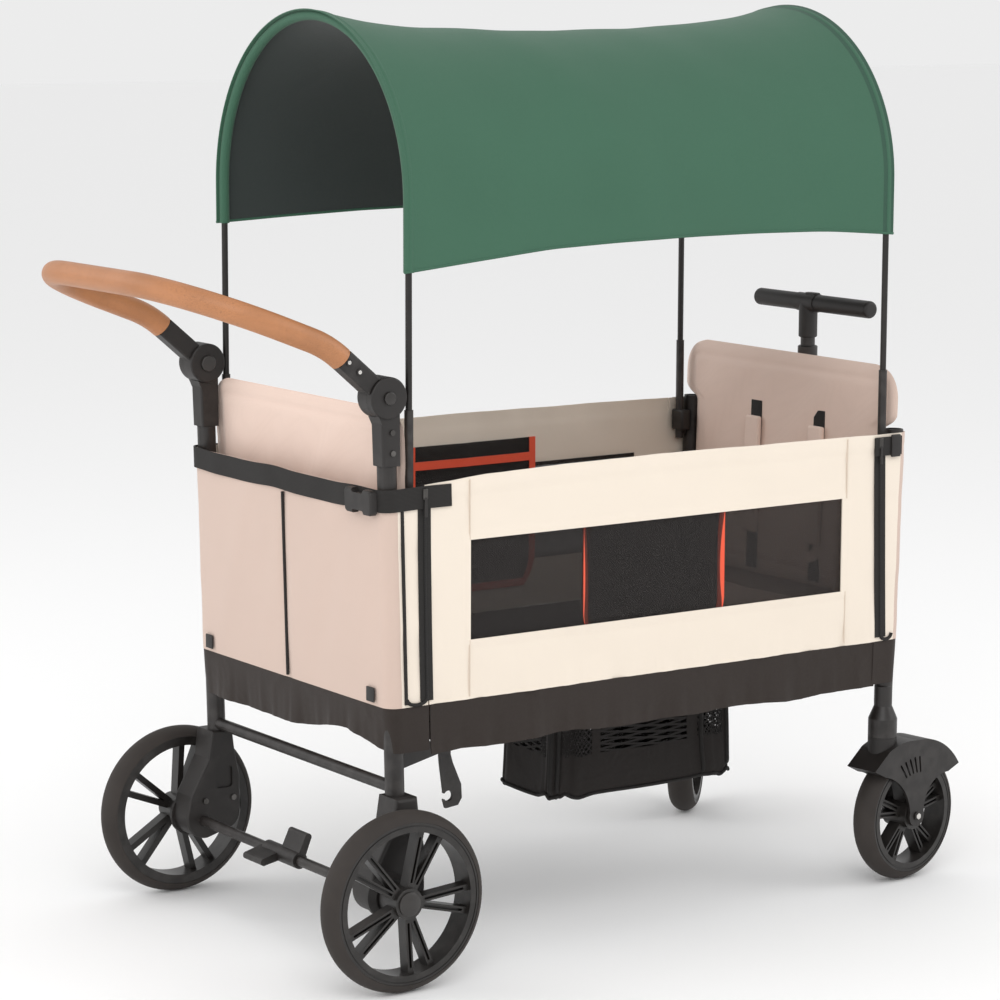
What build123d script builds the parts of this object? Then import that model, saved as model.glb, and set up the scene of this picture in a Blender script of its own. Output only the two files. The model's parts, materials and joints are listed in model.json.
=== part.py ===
from build123d import *
import os
from math import atan2, cos, degrees, hypot, radians, sin

# A folding push-and-pull wagon for children, in millimetres.
# +X runs from the push handle towards the pull handle, +Y to the wagon's left, +Z up.
# The origin is on the floor, midway between the rear wheels and straight under their axle.

# ---- driving dimensions -------------------------------------------------------------------
LEFT, RIGHT = 1, -1
SIDES = {"left": LEFT, "right": RIGHT}
FIT = 0.05  # radial clearance of a running or plug fit
GAP = 0.3  # clearance between loose neighbours

# wheels
REAR_RADIUS, REAR_WIDTH, REAR_Y = 117.0, 38.0, 289.0
CASTER_RADIUS, CASTER_WIDTH = 94.0, 38.0
CASTER_TRAIL = 47.0
CASTER_TURN = {LEFT: 45.0, RIGHT: 8.0}
SPOKE_PAIRS, SPOKE_SPREAD = 5, 19.0
STUB_R, HUB_R = 6.0, 20.0

# frame tubes
POST_R, POST_WALL, POST_Y = 12.5, 1.6, 227.0
SPIGOT_R, SPIGOT_Z = 9.5, 660.0
CROSS_R = 8.0
REAR_FOOT_X, REAR_FOOT_Z, REAR_LEAN = 31.5, 150.0, -1.5
FRONT_FOOT_X, FRONT_FOOT_Z, FRONT_LEAN = 841.0, 280.0, 1.5
REAR_POST_LOW, REAR_POST_TOP = 196.0, 706.0
FRONT_POST_LOW, FRONT_POST_TOP = 262.0, 645.0
REAR_CROSS_Z, FRONT_CROSS_Z = 246.5, 300.0

# cloth tub
TUB_HALF, CLOTH = 243.0, 3.0
SEAM_Z, TUB_TOP = 352.0, 634.0
SKIRT_LOW, SIDE_SKIRT_LOW = 291.0, 289.0
END_BACK = POST_R + GAP + CLOTH
END_RADIUS = 16.0
REAR_WING, FRONT_WING = 42.0, 33.0
WINDOW = (134.0, 746.0, 429.0, 558.0)

# folding floor
FLOOR_HINGE_Z, MID_HINGE_Z = 395.0, 300.0
REAR_HINGE_X, FRONT_HINGE_X = 60.0, 818.0
MID_HINGE_X = (REAR_HINGE_X + FRONT_HINGE_X) / 2
FLOOR_HALF, FLOOR_LOW, FLOOR_TOP = 232.0, 304.0, 314.0
SEAT_LENGTH, SEAT_HALF = 200.0, 226.0
HINGE_PIN_R, MID_PIN_R, KNUCKLE_R = 4.0, 3.0, 5.5

# canopy
ROD_R, ROD_Y, HOOP_TOP, ROD_LOW = 4.25, 228.0, 1216.0, 600.0
REAR_ROD_X, FRONT_ROD_X = 50.5, 827.0
SOCKET_R, SOCKET_LOW, SOCKET_TOP = 5.75, 582.0, 728.0
CANOPY_BACK, CANOPY_FRONT, CANOPY_HEM, CANOPY_CLOTH = 40.0, 836.0, 905.0, 1.8

# push handle
PIVOT_X, PIVOT_Z, KNUCKLE_DISC_R = 12.0, 747.0, 26.5
DISC_IN, DISC_SPLIT, DISC_OUT = 209.0, 231.75, 244.0
BEND_X, BEND_Z, BAR_X, BAR_Z = -68.0, 815.0, -262.0, 891.0
HANDLE_R, GRIP_R, BEND_R, CORNER_R = 10.5, 15.5, 150.0, 140.0
HOUSING_W, HOUSING_IN, HOUSING_OUT = 26.0, 214.0, 240.0
TILT_BUTTON_R, TILT_TRAVEL = 11.0, 4.0

# pull handle
PULL_X, PULL_PIVOT_Z = 882.0, 295.0
OUTER_R, INNER_R, COLLAR_R = 12.0, 10.3, 14.2
OUTER_TOP, COLLAR_LOW, NECK_TOP, BAR_CENTRE_Z = 738.0, 719.0, 750.0, 800.0
PULL_BAR_R, PULL_BAR_LOW_Y, PULL_BAR_HIGH_Y = 12.3, -138.0, 112.0

# parking brake and fold hook
BRAKE_Z, BRAKE_R = 114.0, 7.0
HOOK_X, HOOK_Z, HOOK_IN, HOOK_OUT = 117.0, 284.0, 202.5, 207.5


# ---- planes and small helpers ---------------------------------------------------------------
def save(builder, name):
    """Label a finished piece and write it."""
    builder.part.label = name
    export_step(builder.part, f"parts/{name}.step")


def lean_plane(foot_x, foot_z, lean):
    """A plane whose z runs up a leaning post and whose x runs forward."""
    a = radians(lean)
    return Plane(origin=(foot_x, 0, foot_z), x_dir=(cos(a), 0, -sin(a)), z_dir=(sin(a), 0, cos(a)))


REAR = lean_plane(REAR_FOOT_X, REAR_FOOT_Z, REAR_LEAN)
FRONT = lean_plane(FRONT_FOOT_X, FRONT_FOOT_Z, FRONT_LEAN)


def end_view(plane, forward):
    """The leaning end plane seen end-on: x is +Y, y runs up the lean, z forward."""
    return Plane(origin=plane.origin + plane.x_dir * forward, x_dir=(0, 1, 0), z_dir=plane.x_dir)


def side_view(side, near, far):
    """A side view (x forward, y up); extruding far - near from it fills near to far in |Y|."""
    y = far if side == LEFT else -near
    return Plane(origin=(0, y, 0), x_dir=(1, 0, 0), z_dir=(0, -1, 0))


def spanwise(side, near, far, x, z):
    """A plane across a round bar that runs along Y from near to far in |Y|."""
    y = far if side == LEFT else -near
    return Plane(origin=(x, y, z), x_dir=(1, 0, 0), z_dir=(0, -1, 0))


def wheel_plane(centre, turn, outward, offset):
    """The wheel's own plane, offset along its axle; its z points outward."""
    a = radians(turn)
    normal = Vector(sin(a), -cos(a), 0) * outward
    return Plane(origin=Vector(*centre) + normal * offset, x_dir=(cos(a), sin(a), 0), z_dir=normal)


def axle_section(centre, turn):
    """A section through the axle (x radial, y along the axle) and the axle itself."""
    a = radians(turn)
    axle = Axis(centre, (-sin(a), cos(a), 0))
    return Plane(origin=centre, x_dir=(cos(a), sin(a), 0), z_dir=(0, 0, 1)), axle


def front_at(z):
    """X of the front posts' axis at a height."""
    return FRONT_FOOT_X + (z - FRONT_FOOT_Z) * sin(radians(FRONT_LEAN))


# ---- frame ---------------------------------------------------------------------------------
def upright(plane, side, low, top, rod_x, hinge_x):
    """A tube with its welded canopy socket and floor-hinge ear; returned open for more."""
    foot = plane.origin.Z
    with BuildPart() as post:
        with BuildSketch(plane.offset(low - foot)):
            with Locations((0, side * POST_Y)):
                Circle(POST_R)
        extrude(amount=top - low)
        with BuildSketch(Plane.XY.offset(SOCKET_LOW)):
            with Locations((rod_x, side * ROD_Y)):
                Circle(SOCKET_R)
        extrude(amount=SOCKET_TOP - SOCKET_LOW)
        with BuildSketch(Plane.XY.offset(SOCKET_LOW + 6)):
            mid = (rod_x + plane.origin.X + (SOCKET_LOW - foot) * plane.z_dir.X) / 2
            with Locations((mid, side * ROD_Y)):
                Rectangle(abs(rod_x - mid) * 2, 6)
        extrude(amount=16)
        post_x = plane.origin.X + (FLOOR_HINGE_Z - foot) * plane.z_dir.X
        reach = abs(hinge_x - post_x)
        with BuildSketch(side_view(side, 230.0, 235.5)):
            with Locations(((hinge_x + post_x) / 2, FLOOR_HINGE_Z)):
                SlotCenterToCenter(reach, 18)
        extrude(amount=5.5)
        with BuildSketch(spanwise(side, 221.5, 232.0, hinge_x, FLOOR_HINGE_Z)):
            Circle(HINGE_PIN_R)
        extrude(amount=10.5)
        # the canopy rod's socket and the tube's own bore
        with BuildSketch(Plane.XY.offset(ROD_LOW - 2)):
            with Locations((rod_x, side * ROD_Y)):
                Circle(ROD_R + FIT)
        extrude(amount=SOCKET_TOP - ROD_LOW + 3, mode=Mode.SUBTRACT)
    return post


def rear_upright(side):
    post = upright(REAR, side, REAR_POST_LOW, REAR_POST_TOP, REAR_ROD_X, REAR_HINGE_X)
    with BuildPart() as whole:
        add(post.part)
        if side == RIGHT:
            with BuildSketch(side_view(side, 208.5, 213.0)):
                with BuildLine():
                    Polyline((30, 298), (124, 294), (124, 276), (104, 278), (34, 262), close=True)
                make_face()
            extrude(amount=4.5)
            with BuildSketch(side_view(side, 213.0, 222.0)):
                with Locations((30, 280)):
                    Rectangle(10, 34)
            extrude(amount=9)
            with BuildSketch(spanwise(side, 201.0, 210.0, HOOK_X, HOOK_Z)):
                Circle(MID_PIN_R)
            extrude(amount=9)
        # the tube steps down to a spigot where the handle's knuckle plugs over it
        with BuildSketch(REAR.offset(SPIGOT_Z - REAR_FOOT_Z)):
            with Locations((0, side * POST_Y)):
                Circle(POST_R + 1)
                Circle(SPIGOT_R, mode=Mode.SUBTRACT)
        extrude(amount=REAR_POST_TOP - SPIGOT_Z + 1, mode=Mode.SUBTRACT)
        with BuildSketch(REAR.offset(REAR_POST_LOW - REAR_FOOT_Z)):
            with Locations((0, side * POST_Y)):
                Circle(SPIGOT_R - POST_WALL)
        extrude(amount=REAR_POST_TOP - REAR_POST_LOW, mode=Mode.SUBTRACT)
        with BuildSketch(REAR.offset(REAR_POST_LOW - REAR_FOOT_Z)):
            with Locations((0, side * POST_Y)):
                Circle(POST_R - POST_WALL)
        extrude(amount=SPIGOT_Z - 6 - REAR_POST_LOW, mode=Mode.SUBTRACT)
    return whole


def front_upright(side):
    """The front tube runs down into a swivel housing for the caster."""
    post = upright(FRONT, side, FRONT_POST_LOW, FRONT_POST_TOP, FRONT_ROD_X, FRONT_HINGE_X)
    x, y = CASTER_X, side * CASTER_Y
    with BuildPart() as whole:
        add(post.part)
        with BuildSketch(FRONT.offset(FRONT_POST_LOW + 20 - FRONT_FOOT_Z)):
            with Locations((0, side * POST_Y)):
                Circle(POST_R - POST_WALL)
        extrude(amount=FRONT_POST_TOP - FRONT_POST_LOW, mode=Mode.SUBTRACT)
        section = Plane(origin=(x, y, 0), x_dir=(1, 0, 0), z_dir=(0, -1, 0))
        with BuildSketch(section):
            with BuildLine():
                Polyline((0, HOUSING_LOW), (HOUSING_R, HOUSING_LOW), (HOUSING_R, 238))
                Line((HOUSING_R, 238), (12.6, 256))
                Polyline((12.6, 256), (12.6, 284), (11, 286), (0, 286), (0, HOUSING_LOW))
            make_face()
        revolve(axis=Axis((x, y, 0), (0, 0, 1)))
        with BuildSketch(Plane.XY.offset(HOUSING_LOW)):
            with Locations((x, y)):
                Circle(KINGPIN_R + FIT)
        extrude(amount=KINGPIN_TOP - HOUSING_LOW + 1, mode=Mode.SUBTRACT)
    return whole


def cross_tube(plane, x, z, radius):
    """A tube between the two posts, its ends notched round them."""
    with BuildPart() as tube:
        with BuildSketch(spanwise(LEFT, 0, POST_Y - 2, x, z)):
            Circle(radius)
            Circle(radius - POST_WALL, mode=Mode.SUBTRACT)
        extrude(amount=2 * (POST_Y - 2))
        with BuildSketch(plane):
            with Locations((0, POST_Y), (0, -POST_Y)):
                Circle(POST_R + FIT)
        extrude(amount=400, both=True, mode=Mode.SUBTRACT)
    return tube


def wheel_bracket(side):
    """The moulded bracket that joins post, wheel stub and brake shaft."""
    near, far = 212.0, 256.0
    with BuildPart() as bracket:
        with BuildSketch(side_view(side, near, far)):
            with BuildLine():
                Polyline((14, 238), (46, 238), (50, 205), (57, 172), (57, 122))
                ThreePointArc((57, 122), (52, 106), (38, 98))
                Line((38, 98), (6, 89))
                ThreePointArc((6, 89), (-19, 99), (-26, 124))
                Polyline((-26, 124), (-20, 150), (8, 200), (14, 238))
            make_face()
        extrude(amount=far - near)
        outer = bracket.faces().sort_by(Axis.Y)[-1 if side == LEFT else 0]
        inner = bracket.faces().sort_by(Axis.Y)[0 if side == LEFT else -1]
        fillet(outer.edges(), radius=5)
        fillet(inner.edges(), radius=3)
        section = Plane(origin=(0, 0, REAR_RADIUS), x_dir=(0, 1, 0), z_dir=(-1, 0, 0))
        with BuildSketch(section):
            with BuildLine():
                Polyline(
                    (side * 250, 0), (side * 250, 30), (side * 256, 30), (side * 265, 23),
                    (side * 265, STUB_R), (side * 306, STUB_R), (side * 306, 0), (side * 250, 0),
                )
            make_face()
        revolve(axis=Axis((0, 0, REAR_RADIUS), (0, 1, 0)))
        with BuildSketch(REAR.offset(REAR_POST_LOW - GAP - REAR_FOOT_Z)):
            with Locations((0, side * POST_Y)):
                Circle(POST_R + FIT)
        extrude(amount=80, mode=Mode.SUBTRACT)
        with BuildSketch(spanwise(side, near - 1, 237.0, 0, BRAKE_Z)):
            Circle(BRAKE_R + FIT)
        extrude(amount=26, mode=Mode.SUBTRACT)
        # moulded recess with a rib on the inner face
        with BuildSketch(side_view(side, near - 1, near + 3)):
            with Locations((32, 172)):
                RectangleRounded(26, 30, 5)
        extrude(amount=4, mode=Mode.SUBTRACT)
    return bracket


def frame_bolts():
    """Cap screws in the wheel brackets and in the handle housings."""
    with BuildPart() as bolts:
        for side in (LEFT, RIGHT):
            with BuildSketch(spanwise(side, 209.5, 212.0, 0, 0)):
                with Locations((2, 142), (46, 142)):
                    Circle(4)
            extrude(amount=2.5)
            with BuildSketch(spanwise(side, HOUSING_OUT, HOUSING_OUT + 2, 0, 0)):
                with Locations((18.2, 703), (18.9, 677)):
                    Circle(3.6)
            extrude(amount=2)
    return bolts


# ---- cloth tub -----------------------------------------------------------------------------
def end_band(plane, low, top, facing, wing, back, half, thick, radius):
    """A cloth wall across an end of the tub that turns both corners; facing is its outside."""
    foot = plane.origin.Z
    with BuildPart() as band:
        with BuildSketch(plane.offset(low - foot)):
            for inset, mode in ((0, Mode.ADD), (thick, Mode.SUBTRACT)):
                tip = -facing * (wing + inset)
                reach, edge = facing * (back - inset), half - inset
                with BuildLine():
                    FilletPolyline(
                        (tip, -edge), (reach, -edge), (reach, edge), (tip, edge), radius=radius - inset
                    )
                    Line((tip, edge), (tip, -edge))
                make_face(mode=mode)
        extrude(amount=top - low)
    return band


def backrest(plane, near, far, top, corner):
    """A padded board that stands between the posts and spreads over them above the tub's edge."""
    foot, waist, half = plane.origin.Z, TUB_TOP + 14, 238.0
    neck = POST_Y - POST_R - 3.5
    with BuildPart() as board:
        with BuildSketch(end_view(plane, near)) as face:
            with BuildLine():
                Polyline(
                    (-neck, 400 - foot), (neck, 400 - foot), (neck, waist - foot), (half, waist - foot),
                    (half, top - foot), (-half, top - foot), (-half, waist - foot), (-neck, waist - foot),
                    close=True,
                )
            make_face()
            fillet(face.vertices().group_by(Axis.Y)[-1], radius=corner)
        extrude(amount=far - near)
    return board


def side_panel(side):
    low_back, low_front = 71.5, 809.0
    top_back, top_front = 64.5, 816.5
    with BuildPart() as panel:
        with BuildSketch(side_view(side, TUB_HALF - CLOTH, TUB_HALF)):
            with BuildLine():
                Polyline((top_back, TUB_TOP), (low_back, SEAM_Z), (low_front, SEAM_Z), (top_front, 641))
                ThreePointArc((top_front, 641), (470, 644), (top_back, TUB_TOP))
            make_face()
            x0, x1, z0, z1 = WINDOW
            with Locations(((x0 + x1) / 2, (z0 + z1) / 2)):
                RectangleRounded(x1 - x0, z1 - z0, 5, mode=Mode.SUBTRACT)
        extrude(amount=CLOTH)
    return panel


def window_meshes():
    x0, x1, z0, z1 = WINDOW
    with BuildPart() as meshes:
        for side in (LEFT, RIGHT):
            with BuildSketch(side_view(side, TUB_HALF - 2, TUB_HALF - 1)):
                with Locations(((x0 + x1) / 2, (z0 + z1) / 2)):
                    RectangleRounded(x1 - x0, z1 - z0, 5)
            extrude(amount=1)
    return meshes


def side_skirts():
    with BuildPart() as skirts:
        for side in (LEFT, RIGHT):
            with BuildSketch(side_view(side, TUB_HALF - CLOTH, TUB_HALF)):
                with Locations((441, (SEAM_Z - GAP + SIDE_SKIRT_LOW) / 2)):
                    Rectangle(734, SEAM_Z - GAP - SIDE_SKIRT_LOW)
            extrude(amount=CLOTH)
    return skirts


def rear_skirt():
    """The rear skirt's lower edge rises in a shallow arch on the right."""
    band = end_band(REAR, SKIRT_LOW, SEAM_Z - GAP, -1, REAR_WING, END_BACK, TUB_HALF, CLOTH, END_RADIUS)
    with BuildPart() as skirt:
        add(band.part)
        with BuildSketch(Plane(origin=(0, 0, 0), x_dir=(0, 1, 0), z_dir=(1, 0, 0))):
            with BuildLine():
                ThreePointArc((-222, 288), (-120, 309), (-10, 288))
                Line((-10, 288), (-222, 288))
            make_face()
        extrude(amount=60, mode=Mode.SUBTRACT)
    return skirt


def front_skirt():
    """The front skirt has a slot where the pull handle's bracket comes through."""
    band = end_band(FRONT, SKIRT_LOW, SEAM_Z - GAP, 1, FRONT_WING, END_BACK, TUB_HALF, CLOTH, END_RADIUS)
    with BuildPart() as skirt:
        add(band.part)
        with BuildSketch(Plane.XY.offset(SKIRT_LOW - 5)):
            with Locations((860, 0)):
                Rectangle(40, 40)
        extrude(amount=30, mode=Mode.SUBTRACT)
    return skirt


def side_pockets():
    """One flat pocket inside each wall, open at the top."""
    outer, inner = TUB_HALF - CLOTH - GAP, FLOOR_HALF + 1
    places = {LEFT: (352.0, 571.0, 385.0, 602.0), RIGHT: (313.0, 546.0, 400.0, 600.0)}
    with BuildPart() as pockets:
        for side, (x0, x1, z0, z1) in places.items():
            with BuildSketch(side_view(side, inner, outer)) as face:
                with Locations(((x0 + x1) / 2, (z0 + z1) / 2)):
                    Rectangle(x1 - x0, z1 - z0)
                fillet(face.vertices().group_by(Axis.Y)[0], radius=45)
            extrude(amount=outer - inner)
            with BuildSketch(side_view(side, inner + 1.5, outer - 1.5)) as slot:
                with Locations(((x0 + x1) / 2, (z0 + z1) / 2 + 3)):
                    Rectangle(x1 - x0 - 6, z1 - z0)
                fillet(slot.vertices().group_by(Axis.Y)[0], radius=42)
            extrude(amount=outer - inner - 3, mode=Mode.SUBTRACT)
    return pockets


def storage_basket():
    """The cloth basket slung under the floor, open at the top."""
    wall, low, top = 2.0, 143.0, 296.0
    with BuildPart() as basket:
        with BuildSketch(Plane.XY.offset(low)):
            with Locations((547, 0)):
                RectangleRounded(322, 136, 9)
        extrude(amount=top - low)
        fillet(basket.faces().sort_by(Axis.Z)[0].edges(), radius=7)
        offset(amount=-wall, openings=basket.faces().sort_by(Axis.Z)[-1])
    return basket


def rear_strap():
    """Webbing round the outside of the rear end."""
    back, half = END_BACK + 2.3, TUB_HALF + 2.3
    band = end_band(REAR, 601.0, 629.0, -1, 87.0, back, half, 2.0, END_RADIUS + 2.3)
    return band


def strap_buckle():
    plane = end_view(REAR, -END_BACK - 2.5 - 10)
    with BuildPart() as buckle:
        with BuildSketch(plane):
            with Locations((-200, 615 - REAR_FOOT_Z)):
                RectangleRounded(62, 32, 6)
        extrude(amount=10)
        fillet(buckle.faces().sort_by(Axis.X)[0].edges(), radius=3)
        with BuildSketch(plane):
            with Locations((-200, 630 - REAR_FOOT_Z), (-200, 600 - REAR_FOOT_Z)):
                RectangleRounded(26, 8, 3)
        extrude(amount=10, mode=Mode.SUBTRACT)
    return buckle


def harness_pads():
    """Two shoulder pads on the front backrest."""
    with BuildPart() as pads:
        with BuildSketch(end_view(FRONT, -10 - GAP - 11)):
            with Locations((62, 548 - FRONT_FOOT_Z), (-79, 548 - FRONT_FOOT_Z)):
                RectangleRounded(34, 178, 14)
        extrude(amount=11)
    return pads


# ---- folding floor -------------------------------------------------------------------------
MID_KNUCKLES = {"rear": ((100, 118), (142, 160), (184, 202)), "front": ((118.5, 141.5), (160.5, 183.5))}


def floor_panel(end):
    """Half of the floor with its hinge lugs; the rear half also carries the middle hinge's pins."""
    rear = end == "rear"
    hinge_x = REAR_HINGE_X if rear else FRONT_HINGE_X
    way = 1 if rear else -1
    inner_x = MID_HINGE_X - way * (KNUCKLE_R + 1)
    start_x = hinge_x + way * 2
    middle, length = (inner_x + start_x) / 2, abs(inner_x - start_x)
    with BuildPart() as panel:
        with BuildSketch(Plane.XY.offset(FLOOR_LOW)):
            with Locations((middle, 0)):
                RectangleRounded(length, 2 * FLOOR_HALF, 4)
        extrude(amount=FLOOR_TOP - FLOOR_LOW)
        # the tray's underside is hollow between ribs
        with BuildSketch(Plane.XY.offset(FLOOR_LOW)):
            with Locations((middle, 0)):
                with GridLocations(length / 3, 150, 3, 3):
                    RectangleRounded(length / 3 - 12, 136, 8)
        extrude(amount=6, mode=Mode.SUBTRACT)
        for side in (LEFT, RIGHT):
            with BuildSketch(side_view(side, 224.0, 229.4)):
                with BuildLine():
                    Line((hinge_x - 10, FLOOR_HINGE_Z), (hinge_x - 10, FLOOR_LOW))
                    Line((hinge_x - 10, FLOOR_LOW), (hinge_x + 10, FLOOR_LOW))
                    Line((hinge_x + 10, FLOOR_LOW), (hinge_x + 10, FLOOR_HINGE_Z))
                    ThreePointArc(
                        (hinge_x + 10, FLOOR_HINGE_Z), (hinge_x, FLOOR_HINGE_Z + 10), (hinge_x - 10, FLOOR_HINGE_Z)
                    )
                make_face()
                with Locations((hinge_x, FLOOR_HINGE_Z)):
                    Circle(HINGE_PIN_R + FIT, mode=Mode.SUBTRACT)
            extrude(amount=5.4)
            for near, far in MID_KNUCKLES[end]:
                with BuildSketch(side_view(side, near, far)):
                    with Locations((MID_HINGE_X, MID_HINGE_Z)):
                        Circle(KNUCKLE_R)
                    with BuildLine():
                        Polyline(
                            (MID_HINGE_X, MID_HINGE_Z + KNUCKLE_R), (MID_HINGE_X, MID_HINGE_Z),
                            (inner_x - way * 14, FLOOR_LOW), (inner_x - way * 14, FLOOR_LOW + 4),
                            (inner_x, FLOOR_LOW + 4), close=True,
                        )
                    make_face()
                    if not rear:
                        with Locations((MID_HINGE_X, MID_HINGE_Z)):
                            Circle(MID_PIN_R + FIT, mode=Mode.SUBTRACT)
                extrude(amount=far - near)
            if rear:
                with BuildSketch(side_view(side, 100, 202)):
                    with Locations((MID_HINGE_X, MID_HINGE_Z)):
                        Circle(MID_PIN_R)
                extrude(amount=102)
    return panel


def seat_cushion(end):
    """The cushioned bench at one end of the tub."""
    way = 1 if end == "rear" else -1
    hinge_x = REAR_HINGE_X if end == "rear" else FRONT_HINGE_X
    near = hinge_x + way * 2
    half = POST_Y - 6
    with BuildPart() as cushion:
        with BuildSketch(Plane.XY.offset(FLOOR_TOP + GAP)):
            with Locations((near + way * SEAT_LENGTH / 2, 0)):
                RectangleRounded(SEAT_LENGTH, 2 * half, 10)
        extrude(amount=FLOOR_HINGE_Z - FLOOR_TOP - GAP)
        fillet(cushion.faces().sort_by(Axis.Z)[-1].edges(), radius=9)
    return cushion


# ---- wheels --------------------------------------------------------------------------------
def tyre(centre, turn, radius, width):
    """A rounded tyre that sits between the rim's two flanges."""
    section, axle = axle_section(centre, turn)
    half, seat, shoulder = width / 2, radius - 19 + FIT, radius - 12.7
    with BuildPart() as rubber:
        with BuildSketch(section):
            with BuildLine():
                ThreePointArc((shoulder, -half), (radius, 0), (shoulder, half))
                Polyline((shoulder, half), (shoulder, half - 3), (seat, half - 3))
                Line((seat, half - 3), (seat, 3 - half))
                Polyline((seat, 3 - half), (shoulder, 3 - half), (shoulder, -half))
            make_face()
        revolve(axis=axle)
    return rubber


def rim(centre, turn, outward, radius, width, hub_in, hub_out, spoke_span, first):
    """A moulded rim with paired channel spokes; hub_in to hub_out is its span along the axle."""
    section, axle = axle_section(centre, turn)
    half, seat, lip = width / 2, radius - 19, radius - 13
    inside = seat - 6
    low, high = spoke_span
    sign = -outward
    with BuildPart() as moulding:
        with BuildSketch(section):
            with BuildLine():
                Polyline(
                    (inside, 0.8 - half), (lip, 0.8 - half), (lip, 2.8 - half), (seat, 2.8 - half),
                    (seat, half - 2.8), (lip, half - 2.8), (lip, half - 0.8), (inside, half - 0.8),
                    close=True,
                )
            make_face()
            with BuildLine():
                Polyline(
                    (STUB_R + FIT, sign * hub_in), (HUB_R, sign * hub_in), (HUB_R, sign * hub_out),
                    (STUB_R + FIT, sign * hub_out), close=True,
                )
            make_face()
        revolve(axis=axle)
        length = inside + 1 - (HUB_R - 2)
        mid = HUB_R - 2 + length / 2
        for turned in (first - SPOKE_SPREAD / 2, first + SPOKE_SPREAD / 2):
            with BuildSketch(wheel_plane(centre, turn, outward, low)):
                with PolarLocations(mid, SPOKE_PAIRS, start_angle=turned):
                    Rectangle(length, 8.5)
            extrude(amount=high - low)
            with BuildSketch(wheel_plane(centre, turn, outward, high)):
                with PolarLocations(mid, SPOKE_PAIRS, start_angle=turned):
                    RectangleRounded(length - 16, 3.2, 1.2)
            extrude(amount=-5, mode=Mode.SUBTRACT)
        # a ring line in the rim's outer face
        with BuildSketch(wheel_plane(centre, turn, outward, half - 0.8)):
            Circle(lip - 3)
            Circle(lip - 4.4, mode=Mode.SUBTRACT)
        extrude(amount=-0.9, mode=Mode.SUBTRACT)
    return moulding



def hub_cap(side):
    """A domed cap over the end of the wheel's stub."""
    base, brim, radius, rise, sign = 17.6, 1.6, 15.5, 3.4, side
    ball = (radius**2 + rise**2) / (2 * rise)
    mid = (radius / 2, sign * (base + brim + rise - ball + (ball**2 - radius**2 / 4) ** 0.5))
    with BuildPart() as cap:
        with BuildSketch(Plane(origin=(0, side * REAR_Y, REAR_RADIUS), x_dir=(1, 0, 0), z_dir=(0, 0, 1))):
            with BuildLine():
                Polyline((0, sign * base), (radius, sign * base), (radius, sign * (base + brim)))
                ThreePointArc((radius, sign * (base + brim)), mid, (0, sign * (base + brim + rise)))
                Line((0, sign * (base + brim + rise)), (0, sign * base))
            make_face()
        revolve(axis=Axis((0, side * REAR_Y, REAR_RADIUS), (0, 1, 0)))
    return cap


# ---- casters -------------------------------------------------------------------------------
CASTER_X, CASTER_Y = 840.0, 228.0
HOUSING_R, HOUSING_LOW = 20.2, 212.3
KINGPIN_R, KINGPIN_TOP = 5.0, 236.0
CHEEK_IN, CHEEK_OUT = 22.0, 26.0


def caster_centre(side):
    """The caster wheel's centre, trailing its stem by CASTER_TRAIL."""
    a = radians(CASTER_TURN[side])
    return (CASTER_X + CASTER_TRAIL * cos(a), side * CASTER_Y + CASTER_TRAIL * sin(a), CASTER_RADIUS)


def caster_fork(side):
    """Fender, cheeks, kingpin and axle of one caster; u runs along the trail from the axle."""
    centre, turn = caster_centre(side), CASTER_TURN[side]
    with BuildPart() as fork:
        with BuildSketch(wheel_plane(centre, turn, 1, -CHEEK_OUT)):
            with BuildLine():
                Line((-60, 101), (-90, 77))
                Line((-90, 77), (-68, 66))
                ThreePointArc((-68, 66), (-34, 48), (-14, 6))
                ThreePointArc((-14, 6), (0, -15), (15, 4))
                ThreePointArc((15, 4), (31, 42), (66, 54))
                Line((66, 54), (89, 63))
                ThreePointArc((89, 63), (54, 96), (0, 109))
                ThreePointArc((0, 109), (-34, 109), (-60, 101))
            make_face()
        extrude(amount=2 * CHEEK_OUT)
        # room for the wheel under the fender and between the cheeks
        with BuildSketch(wheel_plane(centre, turn, 1, -CHEEK_IN)):
            with BuildLine():
                ThreePointArc((-99, -40), (0, 99), (99, -40))
                Line((99, -40), (-99, -40))
            make_face()
        extrude(amount=2 * CHEEK_IN, mode=Mode.SUBTRACT)
        # vents through the cheeks
        with BuildSketch(wheel_plane(centre, turn, 1, -CHEEK_OUT)):
            with PolarLocations(74, 5, start_angle=86, angular_range=34):
                RectangleRounded(24, 3.2, 1.5, rotation=11)
        extrude(amount=2 * CHEEK_OUT, mode=Mode.SUBTRACT)
        with BuildSketch(Plane.XY.offset(180)):
            with Locations((CASTER_X, side * CASTER_Y)):
                Circle(HOUSING_R)
        extrude(amount=HOUSING_LOW - GAP - 180)
        with BuildSketch(wheel_plane(centre, turn, 1, -CHEEK_IN)):
            with BuildLine():
                ThreePointArc((-99, -40), (0, 99), (99, -40))
                Line((99, -40), (-99, -40))
            make_face()
        extrude(amount=2 * CHEEK_IN, mode=Mode.SUBTRACT)
        with BuildSketch(Plane.XY.offset(HOUSING_LOW - 5)):
            with Locations((CASTER_X, side * CASTER_Y)):
                Circle(KINGPIN_R)
        extrude(amount=KINGPIN_TOP - HOUSING_LOW + 5)
        with BuildSketch(wheel_plane(centre, turn, 1, -CHEEK_OUT - 2)):
            Circle(STUB_R)
        extrude(amount=2 * CHEEK_OUT + 4)
    return fork


# ---- push handle ---------------------------------------------------------------------------
ARM_ANGLE = degrees(atan2(BEND_Z - PIVOT_Z, BEND_X - PIVOT_X))
ARM_LENGTH = hypot(BEND_X - PIVOT_X, BEND_Z - PIVOT_Z)
TUBE_START, ARM_END = 44.0, ARM_LENGTH - 25.5


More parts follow.
